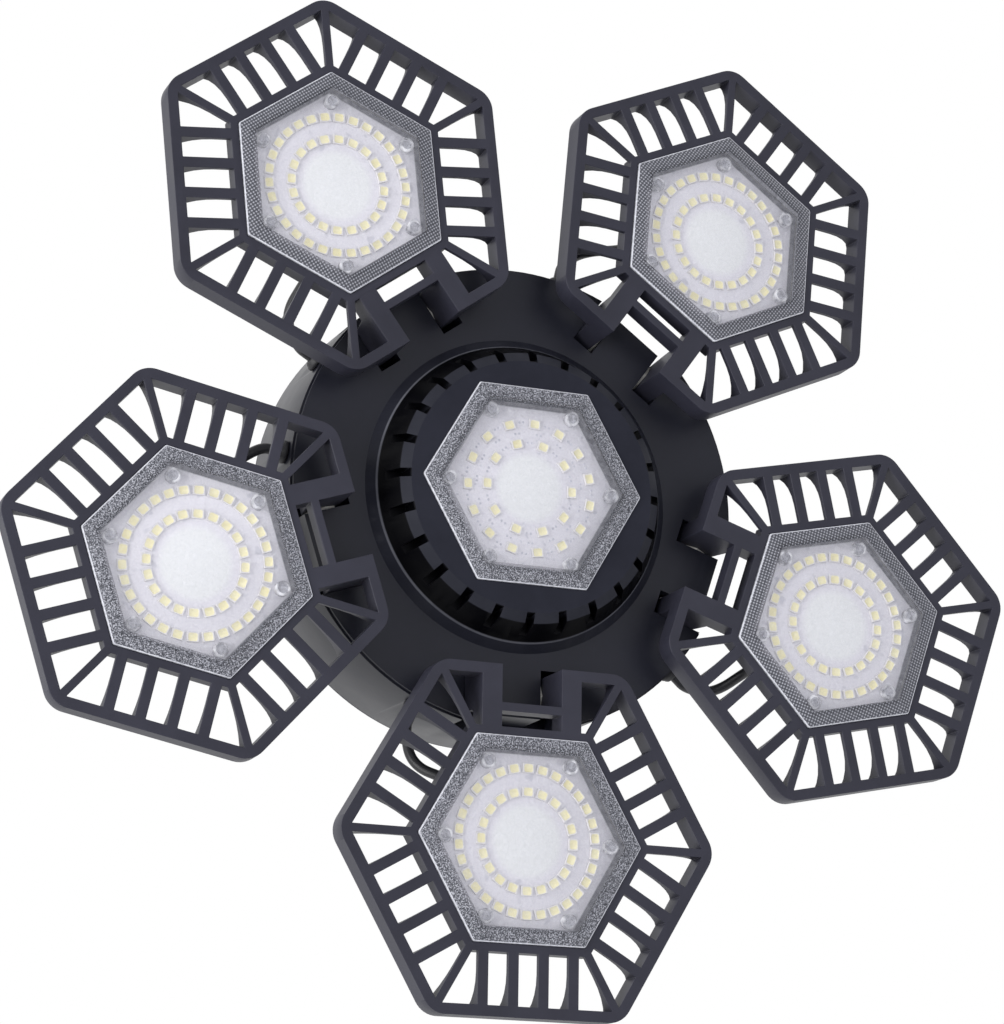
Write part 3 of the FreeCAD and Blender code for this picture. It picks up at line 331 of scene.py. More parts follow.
def drum_paint():
    """The drum from its middle outwards: satin face, chamfer with a painted sheen, near-black
    painted shadow on the wall, a painted highlight round its foot, and the disc's skin. The vents
    are in the same near-black painted shadow in the chamfer."""
    paint = Paint("drum_skin")
    clouds = paint.noise(45.0, detail=4.0, rough=0.65)
    satin = paint.shades(clouds, srgb(34, 35, 43), srgb(42, 43, 52))
    # painted sheen: the chamfer is drawn a little lighter than the face, as where it catches the light
    painted_chamfer_sheen = paint.shades(clouds, srgb(34, 35, 42), srgb(46, 47, 54))
    # painted shadow: near-black for the drum's wall and for the vents in the chamfer
    shadow = paint.shades(clouds, srgb(3, 3, 5), srgb(6, 6, 9))
    # painted highlight: a lighter line all round the drum's foot
    painted_foot_highlight = paint.shades(clouds, srgb(70, 71, 78), srgb(104, 105, 112))
    skin = paint.shades(clouds, srgb(32, 33, 41), srgb(39, 40, 48))
    split = paint.node("ShaderNodeSeparateXYZ")
    paint.link(paint.place, split.inputs["Vector"])
    spin = paint.math("ARCTAN2", split.outputs["Y"], split.outputs["X"])
    wave = paint.math("COSINE", paint.math("MULTIPLY", spin, VENT_COUNT))
    # the wave is 1 in the middle of a vent and passes 0.7 at its sides
    chamfer = paint.mix(paint.spread(wave, 0.0, 1.0, start=0.69, end=0.71), painted_chamfer_sheen, shadow)
    radius = paint.across()
    shown = satin
    starts = (FACE_END, CHAMFER_END, WALL_END, FOOT_HIGHLIGHT_END)
    for edge, colour in zip(starts, (chamfer, shadow, painted_foot_highlight, skin)):
        beyond = paint.spread(radius, 0.0, 1.0, edge - ZONE_FADE_INSIDE, edge + ZONE_FADE_OUTSIDE)
        shown = paint.mix(beyond, shown, colour)
    paint.feed(Base_Color=shown)
    paint.feed(Roughness=paint.spread(clouds, 0.3, 0.4))
    paint.set(Specular_IOR_Level=0.08)
    paint.bumps(paint.noise(1400.0, detail=2.0, rough=0.5), 0.05, GRAIN_HEIGHT)
    return paint.material


drum_skin = drum_paint()
frame_coat = surface("frame_coat", srgb(40, 40, 50), srgb(49, 49, 60), (0.42, 0.52), specular=0.3)
housing_skin = surface("housing_skin", srgb(24, 25, 34), srgb(31, 32, 42), (0.32, 0.42), specular=0.32)
collar_skin = surface("collar_skin", srgb(14, 15, 19), srgb(22, 23, 29), (0.22, 0.3))
cover_skin = surface("cover_skin", srgb(24, 25, 34), srgb(31, 32, 42), (0.36, 0.46), specular=0.32)
cap_metal = surface("cap_metal", srgb(190, 187, 178), srgb(214, 212, 205), (0.16, 0.28),
                    grain=2600.0, bump=0.03, metallic=1.0)
contact_metal = surface("contact_metal", srgb(176, 150, 96), srgb(206, 180, 124), (0.25, 0.4),
                        grain=1800.0, bump=0.05, metallic=1.0)
insulator = surface("insulator", srgb(16, 15, 18), srgb(28, 26, 30), (0.08, 0.2),
                    grain=600.0, bump=0.03)
pin_steel = surface("pin_steel", srgb(120, 121, 124), srgb(158, 159, 162), (0.25, 0.4),
                    grain=2400.0, bump=0.05, metallic=1.0)
washer_nylon = surface("washer_nylon", srgb(196, 194, 186), srgb(216, 214, 208), (0.45, 0.6))
screw_steel = surface("screw_steel", srgb(120, 121, 125), srgb(164, 165, 169), (0.24, 0.4),
                      grain=2200.0, metallic=1.0)
rubber = surface("rubber", srgb(26, 26, 29), srgb(36, 36, 40), (0.5, 0.66), grain=2200.0, bump=0.12)
cable_skin = surface("cable_skin", srgb(24, 24, 28), srgb(34, 34, 39), (0.36, 0.5),
                     grain=2600.0, bump=0.08)
lead_skin = surface("lead_skin", srgb(170, 40, 34), srgb(190, 58, 48), (0.35, 0.5),
                    grain=1600.0, bump=0.05)
board_green = surface("board_green", srgb(16, 74, 40), srgb(26, 92, 52), (0.3, 0.45),
                      grain=1500.0, bump=0.05)
board_edge = surface("board_edge", srgb(168, 160, 140), srgb(186, 178, 158), (0.6, 0.75))
wrap_yellow = surface("wrap_yellow", srgb(196, 158, 46), srgb(212, 178, 66), (0.3, 0.5),
                      grain=500.0, bump=0.05)
capacitor_case = surface("capacitor_case", srgb(150, 96, 30), srgb(172, 116, 44), (0.25, 0.4))
chip_body = surface("chip_body", srgb(214, 211, 210), srgb(226, 223, 221), (0.35, 0.5),
                    grain=2600.0, bump=0.04)
chip_window = surface("chip_window", srgb(236, 226, 168), srgb(242, 235, 188), (0.3, 0.42),
                      grain=2600.0, bump=0.04, cloud=160.0)
chip_metal = surface("chip_metal", srgb(176, 176, 178), srgb(206, 206, 208), (0.25, 0.4),
                     grain=2600.0, bump=0.05, metallic=1.0)
pad_tin = surface("pad_tin", srgb(168, 168, 180), srgb(196, 196, 206), (0.3, 0.45),
                  grain=2400.0, bump=0.05)
solder_dot = surface("solder_dot", srgb(150, 150, 158), srgb(178, 178, 186), (0.3, 0.45),
                     grain=2000.0, bump=0.08)
border_meshed = lens_border("border_meshed", True, PANEL_CORNER, opacity=0.55,
                            start=0.0244, end=0.0266)
border_grained = lens_border("border_grained", False, PANEL_CORNER, opacity=0.55,
                             start=0.0244, end=0.0266)
border_hub = lens_border("border_hub", False, HUB_CORNER, opacity=0.35,
                         start=0.0236, end=0.0262)
window = clear_part("lens_window", srgb(214, 214, 224), srgb(236, 236, 242), (0.10, 0.22), 0.18,
                    size=700.0, detail=3.0, mottle=0.6)
# painted highlight: the lens's outer rim is drawn near-white and nearly opaque
painted_rim_highlight = clear_part("painted_rim_highlight", srgb(206, 207, 214), srgb(228, 229, 235), (0.75, 0.9), 0.15)
lens_wall = clear_part("lens_wall", srgb(150, 151, 158), srgb(176, 177, 184), (0.5, 0.65), 0.2)
lens_inside = clear_part("lens_inside", srgb(200, 201, 208), srgb(222, 223, 230), (0.03, 0.07), 0.2)
# painted highlights and shade: coarse mottling from dark grey to near-white stands for glints on the
# clear posts
post_painted_glints = clear_part("post_painted_glints", srgb(96, 97, 104), srgb(250, 250, 253), (0.5, 0.85), 0.08,
                       size=420.0)
post_top = clear_part("post_top", srgb(150, 151, 158), srgb(214, 215, 222), (0.35, 0.5), 0.1)
panel_board = board_face("panel_board", PANEL_CORNER, disc_radius=0.0103, mark_scale=300.0,
                         mask_edge=0.0243)
hub_board = board_face("hub_board", HUB_CORNER, disc_radius=0.0100, mark_scale=520.0,
                       mask_edge=0.0235)


# ---------------------------------------------------------------- meshes

class Builder:
    """Collects vertices, faces and material slots of one mesh, in millimetres."""

    def __init__(self):
        self.vertices = []
        self.faces = []
        self.slots = []

    def add_ring(self, points):
        first = len(self.vertices)
        self.vertices.extend(points)
        return list(range(first, first + len(points)))

    def band(self, near, far, slot):
        count = len(near)
        for step in range(count):
            after = (step + 1) % count
            self.faces.append((near[step], near[after], far[after], far[step]))
            self.slots.append(slot)

    def lid(self, ring, slot):
        self.faces.append(tuple(ring))
        self.slots.append(slot)

    def loft(self, rings, slots=None, start_slot=None, end_slot=None):
        """Rings of equally many points joined by bands, with lids where a slot is given.

        The bands have the first material where no slots are given."""
        made = [self.add_ring(ring) for ring in rings]
        slots = slots or [0] * (len(rings) - 1)
        for near, far, slot in zip(made, made[1:], slots):
            self.band(near, far, slot)
        if start_slot is not None:
            self.lid(reversed(made[0]), start_slot)
        if end_slot is not None:
            self.lid(made[-1], end_slot)

    def piece(self, name, materials, smooth_below=35.0, slot=None):
        """The mesh made into a piece in metres; edges flatter than the angle are smooth."""
        mesh = bpy.data.meshes.new(name)
        mesh.from_pydata([tuple(c * MM for c in vertex) for vertex in self.vertices], [], self.faces)
        for material in materials:
            mesh.materials.append(material)
        mesh.polygons.foreach_set("material_index", self.slots)
        mesh.polygons.foreach_set("use_smooth", [True] * len(mesh.polygons))
        mesh.validate()
        mesh.update()
        mesh.set_sharp_from_angle(angle=math.radians(smooth_below))
        piece = bpy.data.objects.new(name, mesh)
        bpy.context.scene.collection.objects.link(piece)
        return piece


def put(piece, place, body, *nodes):
    """Puts a piece in its place on a body, in place of CAD nodes."""
    piece.matrix_world = in_metres(place)
    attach(piece, body)
    if nodes:
        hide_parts(*nodes)


def circle(radius, z, count, x=0.0, y=0.0):
    points = []
    for step in range(count):
        angle = 2 * math.pi * step / count
        points.append((x + radius * math.cos(angle), y + radius * math.sin(angle), z))
    return points


# rounding of a hexagon's corners, and the steps of each
CORNER_RADIUS = 0.8
CORNER_STEPS = 4


def hexagon(flat, z, first_corner):
    """A hexagon with rounded corners; flat is the distance from its middle to its flats."""
    points = []
    reach = (flat - CORNER_RADIUS) / math.cos(math.pi / 6)
    for corner in range(6):
        middle = math.radians(first_corner + 60 * corner)
        for step in range(CORNER_STEPS + 1):
            angle = middle + math.radians(60) * (step / CORNER_STEPS - 0.5)
            x = reach * math.cos(middle) + CORNER_RADIUS * math.cos(angle)
            y = reach * math.sin(middle) + CORNER_RADIUS * math.sin(angle)
            points.append((x, y, z))
    return points


def block(half_x, half_y, cut, z, radius, angle, middle=0.0):
    """A rectangle with cut corners, out at a radius in the direction of an angle.

    Its middle is moved sideways by the last value."""
    corners = []
    for sign_x, sign_y in ((-1, -1), (1, -1), (1, 1), (-1, 1)):
        pair = [(half_x - cut, half_y), (half_x, half_y - cut)]
        if sign_x * sign_y > 0:
            pair.reverse()
        for x, y in pair:
            x = radius + sign_x * x
            y = middle + sign_y * y
            turned_x = x * math.cos(angle) - y * math.sin(angle)
            turned_y = x * math.sin(angle) + y * math.cos(angle)
            corners.append((turned_x, turned_y, z))
    return corners


def ring_places(rings):
    """Radius and angle of each place in rings of a radius, a count and a first angle in degrees."""
    for radius, count, first in rings:
        for number in range(count):
            yield radius, 2 * math.pi * number / count + math.radians(first)


# ---------------------------------------------------------------- lenses and lamp boards

PANEL_WINDOW = 24.5
HUB_WINDOW = 23.7
# the lens from its window outwards and inside again: distance to its flats, depth
LENS_PROFILE = (
    (25.0, 0.01), (28.68, 0.65), (28.92, 0.78), (29.0, 1.0), (29.0, 4.0), (26.2, 4.0), (26.2, 1.8),
)
# material of each band between two rings: 1 border, 2 rim with a painted highlight, 3 wall, 4 inside; 0
# is the window
LENS_SLOTS = (1, 1, 2, 2, 3, 3, 4)


def make_lens(name, place, body, first_corner, border, node, window_flat):
    """Bevelled clear cover whose outer edge has a painted highlight."""
    build = Builder()
    rings = [hexagon(window_flat, 0.0, first_corner)]
    rings += [hexagon(flat, depth, first_corner) for flat, depth in LENS_PROFILE]
    build.loft(rings, LENS_SLOTS, start_slot=0, end_slot=4)
    materials = [window, border, painted_rim_highlight, lens_wall, lens_inside]
    piece = build.piece(name, materials, smooth_below=20.0, slot="lens_clear")
    put(piece, place, body, node)


POST_CIRCLE = 25.0
POST_SIDES = 28
# a post from the dish in its top over its rim and down its side to its foot: radius, depth
POST_PROFILE = ((1.25, 1.95), (1.45, 1.86), (1.95, 1.86), (2.15, 2.0), (2.15, 3.9), (1.25, 3.9))
# material of each band: 0 rim and side, with painted glints, 1 dish and foot
POST_SLOTS = (1, 0, 0, 0, 1)


def make_posts(name, place, body, first_corner):
    """Six clear posts under the window, near its corners."""
    build = Builder()
    for corner in range(6):
        angle = math.radians(first_corner + 60 * corner)
        x = POST_CIRCLE * math.cos(angle)
        y = POST_CIRCLE * math.sin(angle)
        rings = [circle(radius, depth, POST_SIDES, x, y) for radius, depth in POST_PROFILE]
        build.loft(rings, POST_SLOTS, start_slot=1, end_slot=1)
    piece = build.piece(name, [post_painted_glints, post_top], smooth_below=40.0, slot="lens_clear")
    put(piece, place, body)


# distance to the board's flats, depth
BOARD_PROFILE = ((25.9, BOARD_DEPTH), (26.05, 4.12), (26.05, 5.08), (25.9, 5.2))
# material of each band: 1 edge; 0 is the face
BOARD_SLOTS = (1, 1, 1)


def make_board(name, place, body, first_corner, face, node):
    """Lamp board with softened edges."""
    build = Builder()
    rings = [hexagon(flat, depth, first_corner) for flat, depth in BOARD_PROFILE]
    build.loft(rings, BOARD_SLOTS, start_slot=0, end_slot=1)
    piece = build.piece(name, [face, board_edge], slot="board_white")
    put(piece, place, body, node)


# a chip's case from its window outwards: half width, half length, cut of the corners, depth
CHIP_CASE = (
    (1.14, 1.30, 0.40, 3.38), (1.20, 1.38, 0.40, 3.32), (1.32, 1.64, 0.12, 3.32),
    (1.38, 1.71, 0.10, 3.42), (1.40, 1.75, 0.10, 3.95),
)
# the same for a metal end, and its distance from the chip's middle
CHIP_END = ((0.95, 0.16, 0.05, 3.70), (1.00, 0.17, 0.05, 4.00))
CHIP_END_OUT = 1.58
# materials of a chip
CHIP_BODY_SLOT = 0
CHIP_WINDOW_SLOT = 1
CHIP_METAL_SLOT = 2
# rings of chips: radius, count, angle of the first one in degrees
PANEL_CHIPS = ((20.6, 30, 0), (13.9, 20, 0))
HUB_CHIPS = ((19.0, 15, 10), (13.1, 10, 0))


def make_chips(name, place, body, rings, node):
    """Lamp chips: a white case with a yellow window and metal ends."""
    build = Builder()
    for radius, angle in ring_places(rings):
        case = [block(*sizes, radius, angle) for sizes in CHIP_CASE]
        build.loft(case, [CHIP_BODY_SLOT] * (len(case) - 1), start_slot=CHIP_WINDOW_SLOT)
        for side in (-1, 1):
            end = [block(*sizes, radius, angle, side * CHIP_END_OUT) for sizes in CHIP_END]
            build.loft(end, [CHIP_METAL_SLOT], start_slot=CHIP_METAL_SLOT, end_slot=CHIP_METAL_SLOT)
    piece = build.piece(name, [chip_body, chip_window, chip_metal], slot="lamp_chip")
    put(piece, place, body, node)


SOLDER_SIDES = 16
# the two solder joints of a panel's board: place and radius
SOLDER_SPOTS = ((-21.5, 11.0, 0.9), (21.5, -11.0, 0.9))
# share of the joint's radius, height above the board
SOLDER_PROFILE = ((1, 0), (0.9, 0.1), (0.5, 0.22))


def make_solder(name, place, body):
    """Solder joints on a lamp board."""
    build = Builder()
    for x, y, radius in SOLDER_SPOTS:
        rings = []
        for share, height in SOLDER_PROFILE:
            rings.append(circle(radius * share, BOARD_DEPTH - height, SOLDER_SIDES, x, y))
        build.loft(rings, end_slot=0)
    put(build.piece(name, [solder_dot], slot="board_white"), place, body)


PAD_SIDES = 12
# distance of each of the two pads from the middle of the pair
PAD_OUT = 0.62
# radius, depth
PAD_PROFILE = ((0.36, BOARD_DEPTH), (0.30, 3.93))
# rings of pads: radius, count, angle of the first pair in degrees
HUB_PADS = ((19.4, 15, 22), (16.2, 15, 16), (13.4, 10, 18))


def make_pads(name, place, body, rings):
    """Pairs of small tinned pads on a lamp board, set in rings between its chips."""
    build = Builder()
    for radius, angle in ring_places(rings):
        for side in (-1, 1):
            turned = angle + side * PAD_OUT / radius
            x = radius * math.cos(turned)
            y = radius * math.sin(turned)
            build.loft([circle(size, depth, PAD_SIDES, x, y) for size, depth in PAD_PROFILE], end_slot=0)
    put(build.piece(name, [pad_tin], slot="board_white"), place, body)


# ---------------------------------------------------------------- cap and cover screws

SHELL_LENGTH = 20.6
THREAD_PITCH = 3.63
THREAD_RADIUS = 12.58
THREAD_HEIGHT = 0.41
# lengths over which the thread rises at its two ends
THREAD_RUN_IN = 2.4
THREAD_RUN_OUT = 1.6
THREAD_SIDES = 72
THREAD_ROWS = 110
# the shell's rounded end: radius, height
SHELL_END = ((11.9, 21.3), (10.6, 21.8), (9.05, 22.0))


def make_thread():
    """Rolled thread of the lamp cap's shell."""
    build = Builder()
    rings = []
    for row in range(THREAD_ROWS + 1):
        z = SHELL_LENGTH * row / THREAD_ROWS
        fade = min(1.0, z / THREAD_RUN_IN, (SHELL_LENGTH - z) / THREAD_RUN_OUT)
        ring = []
        for step in range(THREAD_SIDES):
            angle = 2 * math.pi * step / THREAD_SIDES
            wave = math.cos(2 * math.pi * z / THREAD_PITCH - angle)
            radius = THREAD_RADIUS + THREAD_HEIGHT * wave * fade
            ring.append((radius * math.cos(angle), radius * math.sin(angle), z))
        rings.append(ring)
    rings += [circle(radius, z, THREAD_SIDES) for radius, z in SHELL_END]
    build.loft(rings, start_slot=0, end_slot=0)
    piece = build.piece("thread", [cap_metal], smooth_below=60.0, slot="cap_metal")
    put(piece, ORIGIN, "hub", "screw_shell")


SCREW_CIRCLE = 60.0
SCREW_SIDES = 48
# the head's side: radius, height above the cover
HEAD_PROFILE = ((3.0, 0.0), (3.0, 0.9), (2.9, 1.25), (2.65, 1.55))
# the head's dome: the radii of its rings fall in equal steps from the sum of the first two values
DOME_RADIUS = 2.4
DOME_EXTRA = 0.03
DOME_RINGS = 12
# its height in the middle, and its fall with the square of the radius
DOME_HEIGHT = 1.98
DOME_FALL = 0.06
# the cross recess: half width of an arm, its reach, its depth
CROSS_HALF = 0.42
CROSS_REACH = 1.75
CROSS_DEPTH = 1.0
SHANK_RADIUS = 1.5
SHANK_LENGTH = 10.0
SHANK_SIDES = 16


def make_cover_screws():
    """Pan heads with a cross recess on the rear cover."""
    build = Builder()
    for direction, _fold in PANELS.values():
        angle = math.radians(direction)
        centre_x = SCREW_CIRCLE * math.cos(angle)
        centre_y = SCREW_CIRCLE * math.sin(angle)
        rings = []
        for radius, height in HEAD_PROFILE:
            rings.append(circle(radius, BACK_Z + height, SCREW_SIDES, centre_x, centre_y))
        for part in range(DOME_RINGS):
            radius = DOME_RADIUS * (1 - part / DOME_RINGS) + DOME_EXTRA
            dome = BACK_Z + DOME_HEIGHT - DOME_FALL * radius ** 2
            ring = []
            for x, y, _z in circle(radius, 0.0, SCREW_SIDES):
                in_cross = min(abs(x), abs(y)) < CROSS_HALF and radius < CROSS_REACH
                z = dome - CROSS_DEPTH if in_cross else dome
                ring.append((centre_x + x, centre_y + y, z))
            rings.append(ring)
        build.loft(rings, end_slot=0)
        shank = []
        for z in (BACK_Z - SHANK_LENGTH, BACK_Z):
            shank.append(circle(SHANK_RADIUS, z, SHANK_SIDES, centre_x, centre_y))
        build.loft(shank, start_slot=0)
    piece = build.piece("cover_screw_heads", [screw_steel], slot="screw_steel")
    put(piece, ORIGIN, "hub", "cover_screws")


# ---------------------------------------------------------------- glands, grommets and cables

# a rubber collar: radius of its bore, of the plug in the wall and of its flange, and its height
COLLAR_BORE = 1.52
COLLAR_PLUG = 2.4
COLLAR_FLANGE = 3.35
COLLAR_HEIGHT = 2.55
COLLAR_SIDES = 28
# how far the plug reaches into the wall
GLAND_PLUG_DEPTH = 1.25
GROMMET_PLUG_DEPTH = 2.4
# how far a grommet's flange stands off the skirt
GROMMET_LIFT = 0.05


def make_collar(name, place, body, nodes, depth):
    """Ribbed rubber collar round its Z axis, from the plug's end to its outer lip."""
    bore, plug, flange, height = COLLAR_BORE, COLLAR_PLUG, COLLAR_FLANGE, COLLAR_HEIGHT
    profile = [
        (bore, -depth), (plug - 0.2, -depth), (plug, -depth + 0.2), (plug, 0.0), (flange - 0.25, 0.05),
        (flange, 0.35), (flange, height * 0.45), (flange - 0.45, height * 0.62),
        (flange - 0.55, height * 0.75), (bore + 0.85, height - 0.15), (bore + 0.55, height),
        (bore + 0.12, height - 0.12), (bore, height - 0.4),
    ]
    profile.append(profile[0])
    build = Builder()
    build.loft([circle(radius, z, COLLAR_SIDES) for radius, z in profile])
    piece = build.piece(name, [rubber], smooth_below=50.0, slot="rubber_black")
    put(piece, place, body, *nodes)


def cable_exit(panel):
    """Where a cable leaves the skirt, and its direction."""
    lean = CABLE_SIDE[panel] * math.degrees(math.asin(PORT_SIDE / HUB_RADIUS))
    angle = math.radians(PANELS[panel][0] + lean)
    outward = Vector((math.cos(angle), math.sin(angle), 0))
    point = outward * HUB_RADIUS
    point.z = HINGE_Z + PORT_RISE
    return point, outward


def make_grommet(panel, nodes):
    """The collar where a cable leaves the skirt."""
    leave, outward = cable_exit(panel)
    facing = Z_UP.rotation_difference(outward).to_matrix().to_4x4()
    place = Matrix.Translation(leave + outward * GROMMET_LIFT) @ facing
    make_collar("grommet_" + panel, place, "hub", nodes, GROMMET_PLUG_DEPTH)


def smooth_line(points):
    """Points along the smooth spline that has these as its control points."""
    curve = bpy.data.curves.new("line", "CURVE")
    curve.dimensions = "3D"
    curve.resolution_u = 12
    spline = curve.splines.new("NURBS")
    spline.points.add(len(points) - 1)
    for knot, point in zip(spline.points, points):
        knot.co = (*point, 1)
    spline.order_u = 3
    spline.use_endpoint_u = True
    carrier = bpy.data.objects.new("line", curve)
    bpy.context.scene.collection.objects.link(carrier)
    mesh = bpy.data.meshes.new_from_object(carrier)
    path = [vertex.co.copy() for vertex in mesh.vertices]
    bpy.data.objects.remove(carrier)
    bpy.data.curves.remove(curve)
    bpy.data.meshes.remove(mesh)
    return path


TUBE_SIDES = 20


def tube(path, radius):
    """Rings round a path, carried along without twist."""
    rings = []
    ahead = (path[1] - path[0]).normalized()
    side = ahead.orthogonal().normalized()
    for step, point in enumerate(path):
        before = (point - path[step - 1]).normalized() if step else ahead
        after = (path[step + 1] - point).normalized() if step + 1 < len(path) else before
        ahead = (before + after).normalized()
        side = (side - ahead * side.dot(ahead)).normalized()
        other = ahead.cross(side)
        ring = []
        for number in range(TUBE_SIDES):
            angle = 2 * math.pi * number / TUBE_SIDES
            ring.append(point + (side * math.cos(angle) + other * math.sin(angle)) * radius)
        rings.append([tuple(corner) for corner in ring])
    return rings


# control points of a cable's line: its end in the housing, by the hub's axis and by height
CABLE_INNER_RADIUS = 30.0
CABLE_TOP_Z = -58.6
# out from the skirt, just past the grommet and where the cable starts to bend
CABLE_MOUTH = 3.4
CABLE_CLEAR = 7.65
# between skirt and panel, from the hinge
KNEE_OUT = 21.5
KNEE_RISE = 3.5
# depths behind the lens's front: well over the gland, just over its lip, inside the panel
CABLE_OVER = 15.1
CABLE_RIM = 10.2
CABLE_END = 5.2


def make_cable(panel):
    """The cable's smooth sheath; it bends between the hub and its panel."""
    sign = CABLE_SIDE[panel]
    leave, outward = cable_exit(panel)
    inner = outward * CABLE_INNER_RADIUS
    inner.z = leave.z
    top = Vector((inner.x, inner.y, CABLE_TOP_Z))
    mouth = leave + outward * CABLE_MOUTH
    clear = leave + outward * CABLE_CLEAR
    knee = hinge_place(panel) @ Vector((KNEE_OUT, sign * PORT_SIDE, KNEE_RISE))
    in_panel = []
    for depth in (CABLE_OVER, CABLE_RIM, CABLE_END):
        in_panel.append(panel_place(panel) @ Vector((GLAND_BACK, sign * GLAND_SIDE, depth)))
    build = Builder()
    path = smooth_line([top, inner, mouth, clear, knee, *in_panel])
    build.loft(tube(path, CABLE_RADIUS), start_slot=0, end_slot=0)
    piece = build.piece("sheath_" + panel, [cable_skin], smooth_below=60.0, slot="cable_jacket")
    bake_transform(piece)
    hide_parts("cable_" + panel)


# ---------------------------------------------------------------- the lamp

make_lens("lens_hub", HUB_FRONT, "hub", HUB_CORNER, border_hub, "hub_lens", HUB_WINDOW)
make_posts("posts_hub", HUB_FRONT, "hub", HUB_CORNER)
make_board("board_hub", HUB_FRONT, "hub", HUB_CORNER, hub_board, "hub_lamp_board")
make_chips("chips_hub", HUB_FRONT, "hub", HUB_CHIPS, "hub_lamp_chips")
make_pads("pads_hub", HUB_FRONT, "hub", HUB_PADS)
make_thread()
make_cover_screws()

for panel in PANELS:
    place = panel_place(panel)
    body = "panel_" + panel
    border = border_meshed if panel in MESHED_PANELS else border_grained
    make_lens("lens_" + panel, place, body, PANEL_CORNER, border, "panel_lens_" + panel, PANEL_WINDOW)
    make_posts("posts_" + panel, place, body, PANEL_CORNER)
    make_board("board_" + panel, place, body, PANEL_CORNER, panel_board, "lamp_board_" + panel)
    make_chips("chips_" + panel, place, body, PANEL_CHIPS, "lamp_chips_" + panel)
    make_solder("solder_" + panel, place, body)
    gland = place @ shift(GLAND_BACK, CABLE_SIDE[panel] * GLAND_SIDE, GLAND_DEPTH)
    make_collar("gland_" + panel, gland, body, ["cable_gland_" + panel], GLAND_PLUG_DEPTH)
    # one CAD node holds all five grommets, so the first of them stands for it
    make_grommet(panel, ["cable_grommets"] if panel == "a" else [])
    make_cable(panel)

# ---------------------------------------------------------------- carried-over CAD nodes

COATS = {
    "hub_housing": housing_skin, "rear_cover": cover_skin, "vent_drum": drum_skin,
    "cap_collar": collar_skin, "tip_insulator": insulator, "tip_contact": contact_metal,
    "hinge_pins": pin_steel, "friction_washers": washer_nylon, "driver_board": board_green,
    "driver_transformer": wrap_yellow, "driver_capacitors": capacitor_case,
    "cap_leads": lead_skin, "hub_lamp_cable": cable_skin,
}
# width of the bevel that rounds a node's edges
SOFTENED = {"hub_housing": 0.3, "rear_cover": 0.3, "vent_drum": 0.25, "cap_collar": 0.4}
for panel in PANELS:
    COATS["panel_frame_" + panel] = frame_coat
    SOFTENED["panel_frame_" + panel] = 0.6

WELD_DISTANCE = 1e-6
# faces that meet below the first angle are joined, edges above the second are rounded, in degrees
FLAT_ANGLE = 1.0
EDGE_ANGLE = 32


def coat(node, material):
    """Gives a carried-over node its material."""
    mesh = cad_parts[node].data
    mesh.materials.clear()
    mesh.materials.append(material)


def soften(node, width):
    """Rounds a carried-over node's edges."""
    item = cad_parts[node]
    weld = item.modifiers.new("weld", "WELD")
    weld.merge_threshold = WELD_DISTANCE
    flat = item.modifiers.new("flat", "DECIMATE")
    flat.decimate_type = "DISSOLVE"
    flat.angle_limit = math.radians(FLAT_ANGLE)
    bevel = item.modifiers.new("bevel", "BEVEL")
    bevel.width = width * MM
    bevel.segments = 3
    bevel.limit_method = "ANGLE"
    bevel.angle_limit = math.radians(EDGE_ANGLE)
    bevel.harden_normals = False
    bevel.use_clamp_overlap = True


for node, material in COATS.items():
    coat(node, material)
for node, width in SOFTENED.items():
    soften(node, width)

# ---------------------------------------------------------------- floor, light, camera

FLOOR_SIDES = 48
# radius, height
FLOOR_PROFILE = ((3000, -1300), (2990, -1298))
floor_coat = surface("floor_coat", srgb(226, 226, 228), srgb(236, 236, 238), (0.6, 0.75),
                     grain=60.0, bump=0.02, cloud=2.0)
floor_build = Builder()
floor_build.loft([circle(radius, z, FLOOR_SIDES) for radius, z in FLOOR_PROFILE], end_slot=0)
floor = floor_build.piece("floor", [floor_coat])

# The backdrop is plain white to the camera, in reflections and through clear parts. The light
# that it gives to matt surfaces is a little weaker and cooler.
world = bpy.data.worlds.new("room")
bpy.context.scene.world = world
world.use_nodes = True
nodes = world.node_tree.nodes
links = world.node_tree.links
nodes.clear()


def background(colour, strength):
    made = nodes.new("ShaderNodeBackground")
    made.inputs["Color"].default_value = colour
    made.inputs["Strength"].default_value = strength
    return made.outputs["Background"]


def either(first, second):
    """One where either of two kinds of rays is meant."""
    made = nodes.new("ShaderNodeMath")
    made.operation = "MAXIMUM"
    links.new(first, made.inputs[0])
    links.new(second, made.inputs[1])
    return made.outputs[0]


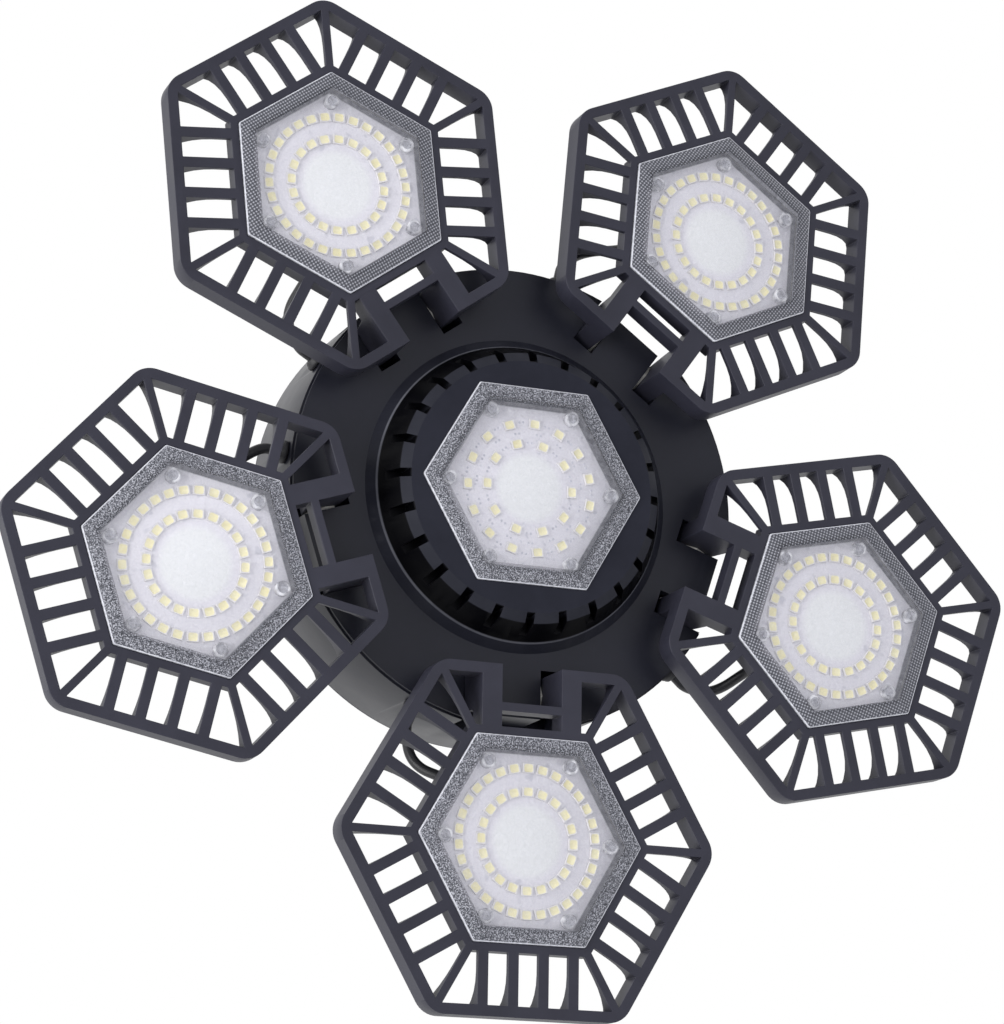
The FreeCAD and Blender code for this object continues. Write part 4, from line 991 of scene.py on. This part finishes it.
rays = nodes.new("ShaderNodeLightPath")
seen = either(rays.outputs["Is Camera Ray"], rays.outputs["Is Glossy Ray"])
through = either(seen, rays.outputs["Is Transmission Ray"])
mixed = nodes.new("ShaderNodeMixShader")
links.new(through, mixed.inputs["Fac"])
links.new(background((0.95, 0.96, 1.0, 1), 0.9), mixed.inputs[1])
links.new(background((1, 1, 1, 1), 1.0), mixed.inputs[2])
sky = nodes.new("ShaderNodeOutputWorld")
links.new(mixed.outputs["Shader"], sky.inputs["Surface"])

# the photo's camera, fitted to the lamp's corners: its axes, its place in metres, its focal length
RIGHT = Vector((0.926291, -0.012231, -0.376609))
UP = Vector((-0.104827, -0.968383, -0.226377))
BACK = Vector((-0.361933, 0.24917, -0.898287))
CAMERA_PLACE = Vector((-0.35973, 0.249892, -0.950738))
FOCAL_PIXELS = 3410.6
PHOTO_WIDTH = 1004
SENSOR_WIDTH = 36.0
# the point that the lights are turned to, in metres
CENTRE = Vector((0, 0, -0.07))


def add_light(name, right, up, back, size, watts):
    """A soft light placed by the camera's axes, in metres, and turned to the lamp."""
    data = bpy.data.lights.new(name, "AREA")
    data.shape = "SQUARE"
    data.size = size
    data.energy = watts
    light = bpy.data.objects.new(name, data)
    light.location = CENTRE + RIGHT * right + UP * up + BACK * back
    light.rotation_mode = "QUATERNION"
    light.rotation_quaternion = (light.location - CENTRE).to_track_quat("Z", "Y")
    bpy.context.scene.collection.objects.link(light)


add_light("key", right=-1.2, up=0.25, back=1.05, size=1.1, watts=23.0)
add_light("fill", right=0.9, up=0.1, back=1.1, size=0.9, watts=10.0)

camera_data = bpy.data.cameras.new("camera")
camera_data.sensor_width = SENSOR_WIDTH
camera_data.sensor_fit = "HORIZONTAL"
camera_data.lens = FOCAL_PIXELS / PHOTO_WIDTH * SENSOR_WIDTH
camera_data.clip_start = 0.05
camera_data.clip_end = 20.0
camera = bpy.data.objects.new("camera", camera_data)
bpy.context.scene.collection.objects.link(camera)
axes = Matrix((RIGHT, UP, BACK)).transposed()
camera.matrix_world = Matrix.Translation(CAMERA_PLACE) @ axes.to_4x4()
bpy.context.scene.camera = camera
bpy.context.scene.view_settings.view_transform = "Standard"
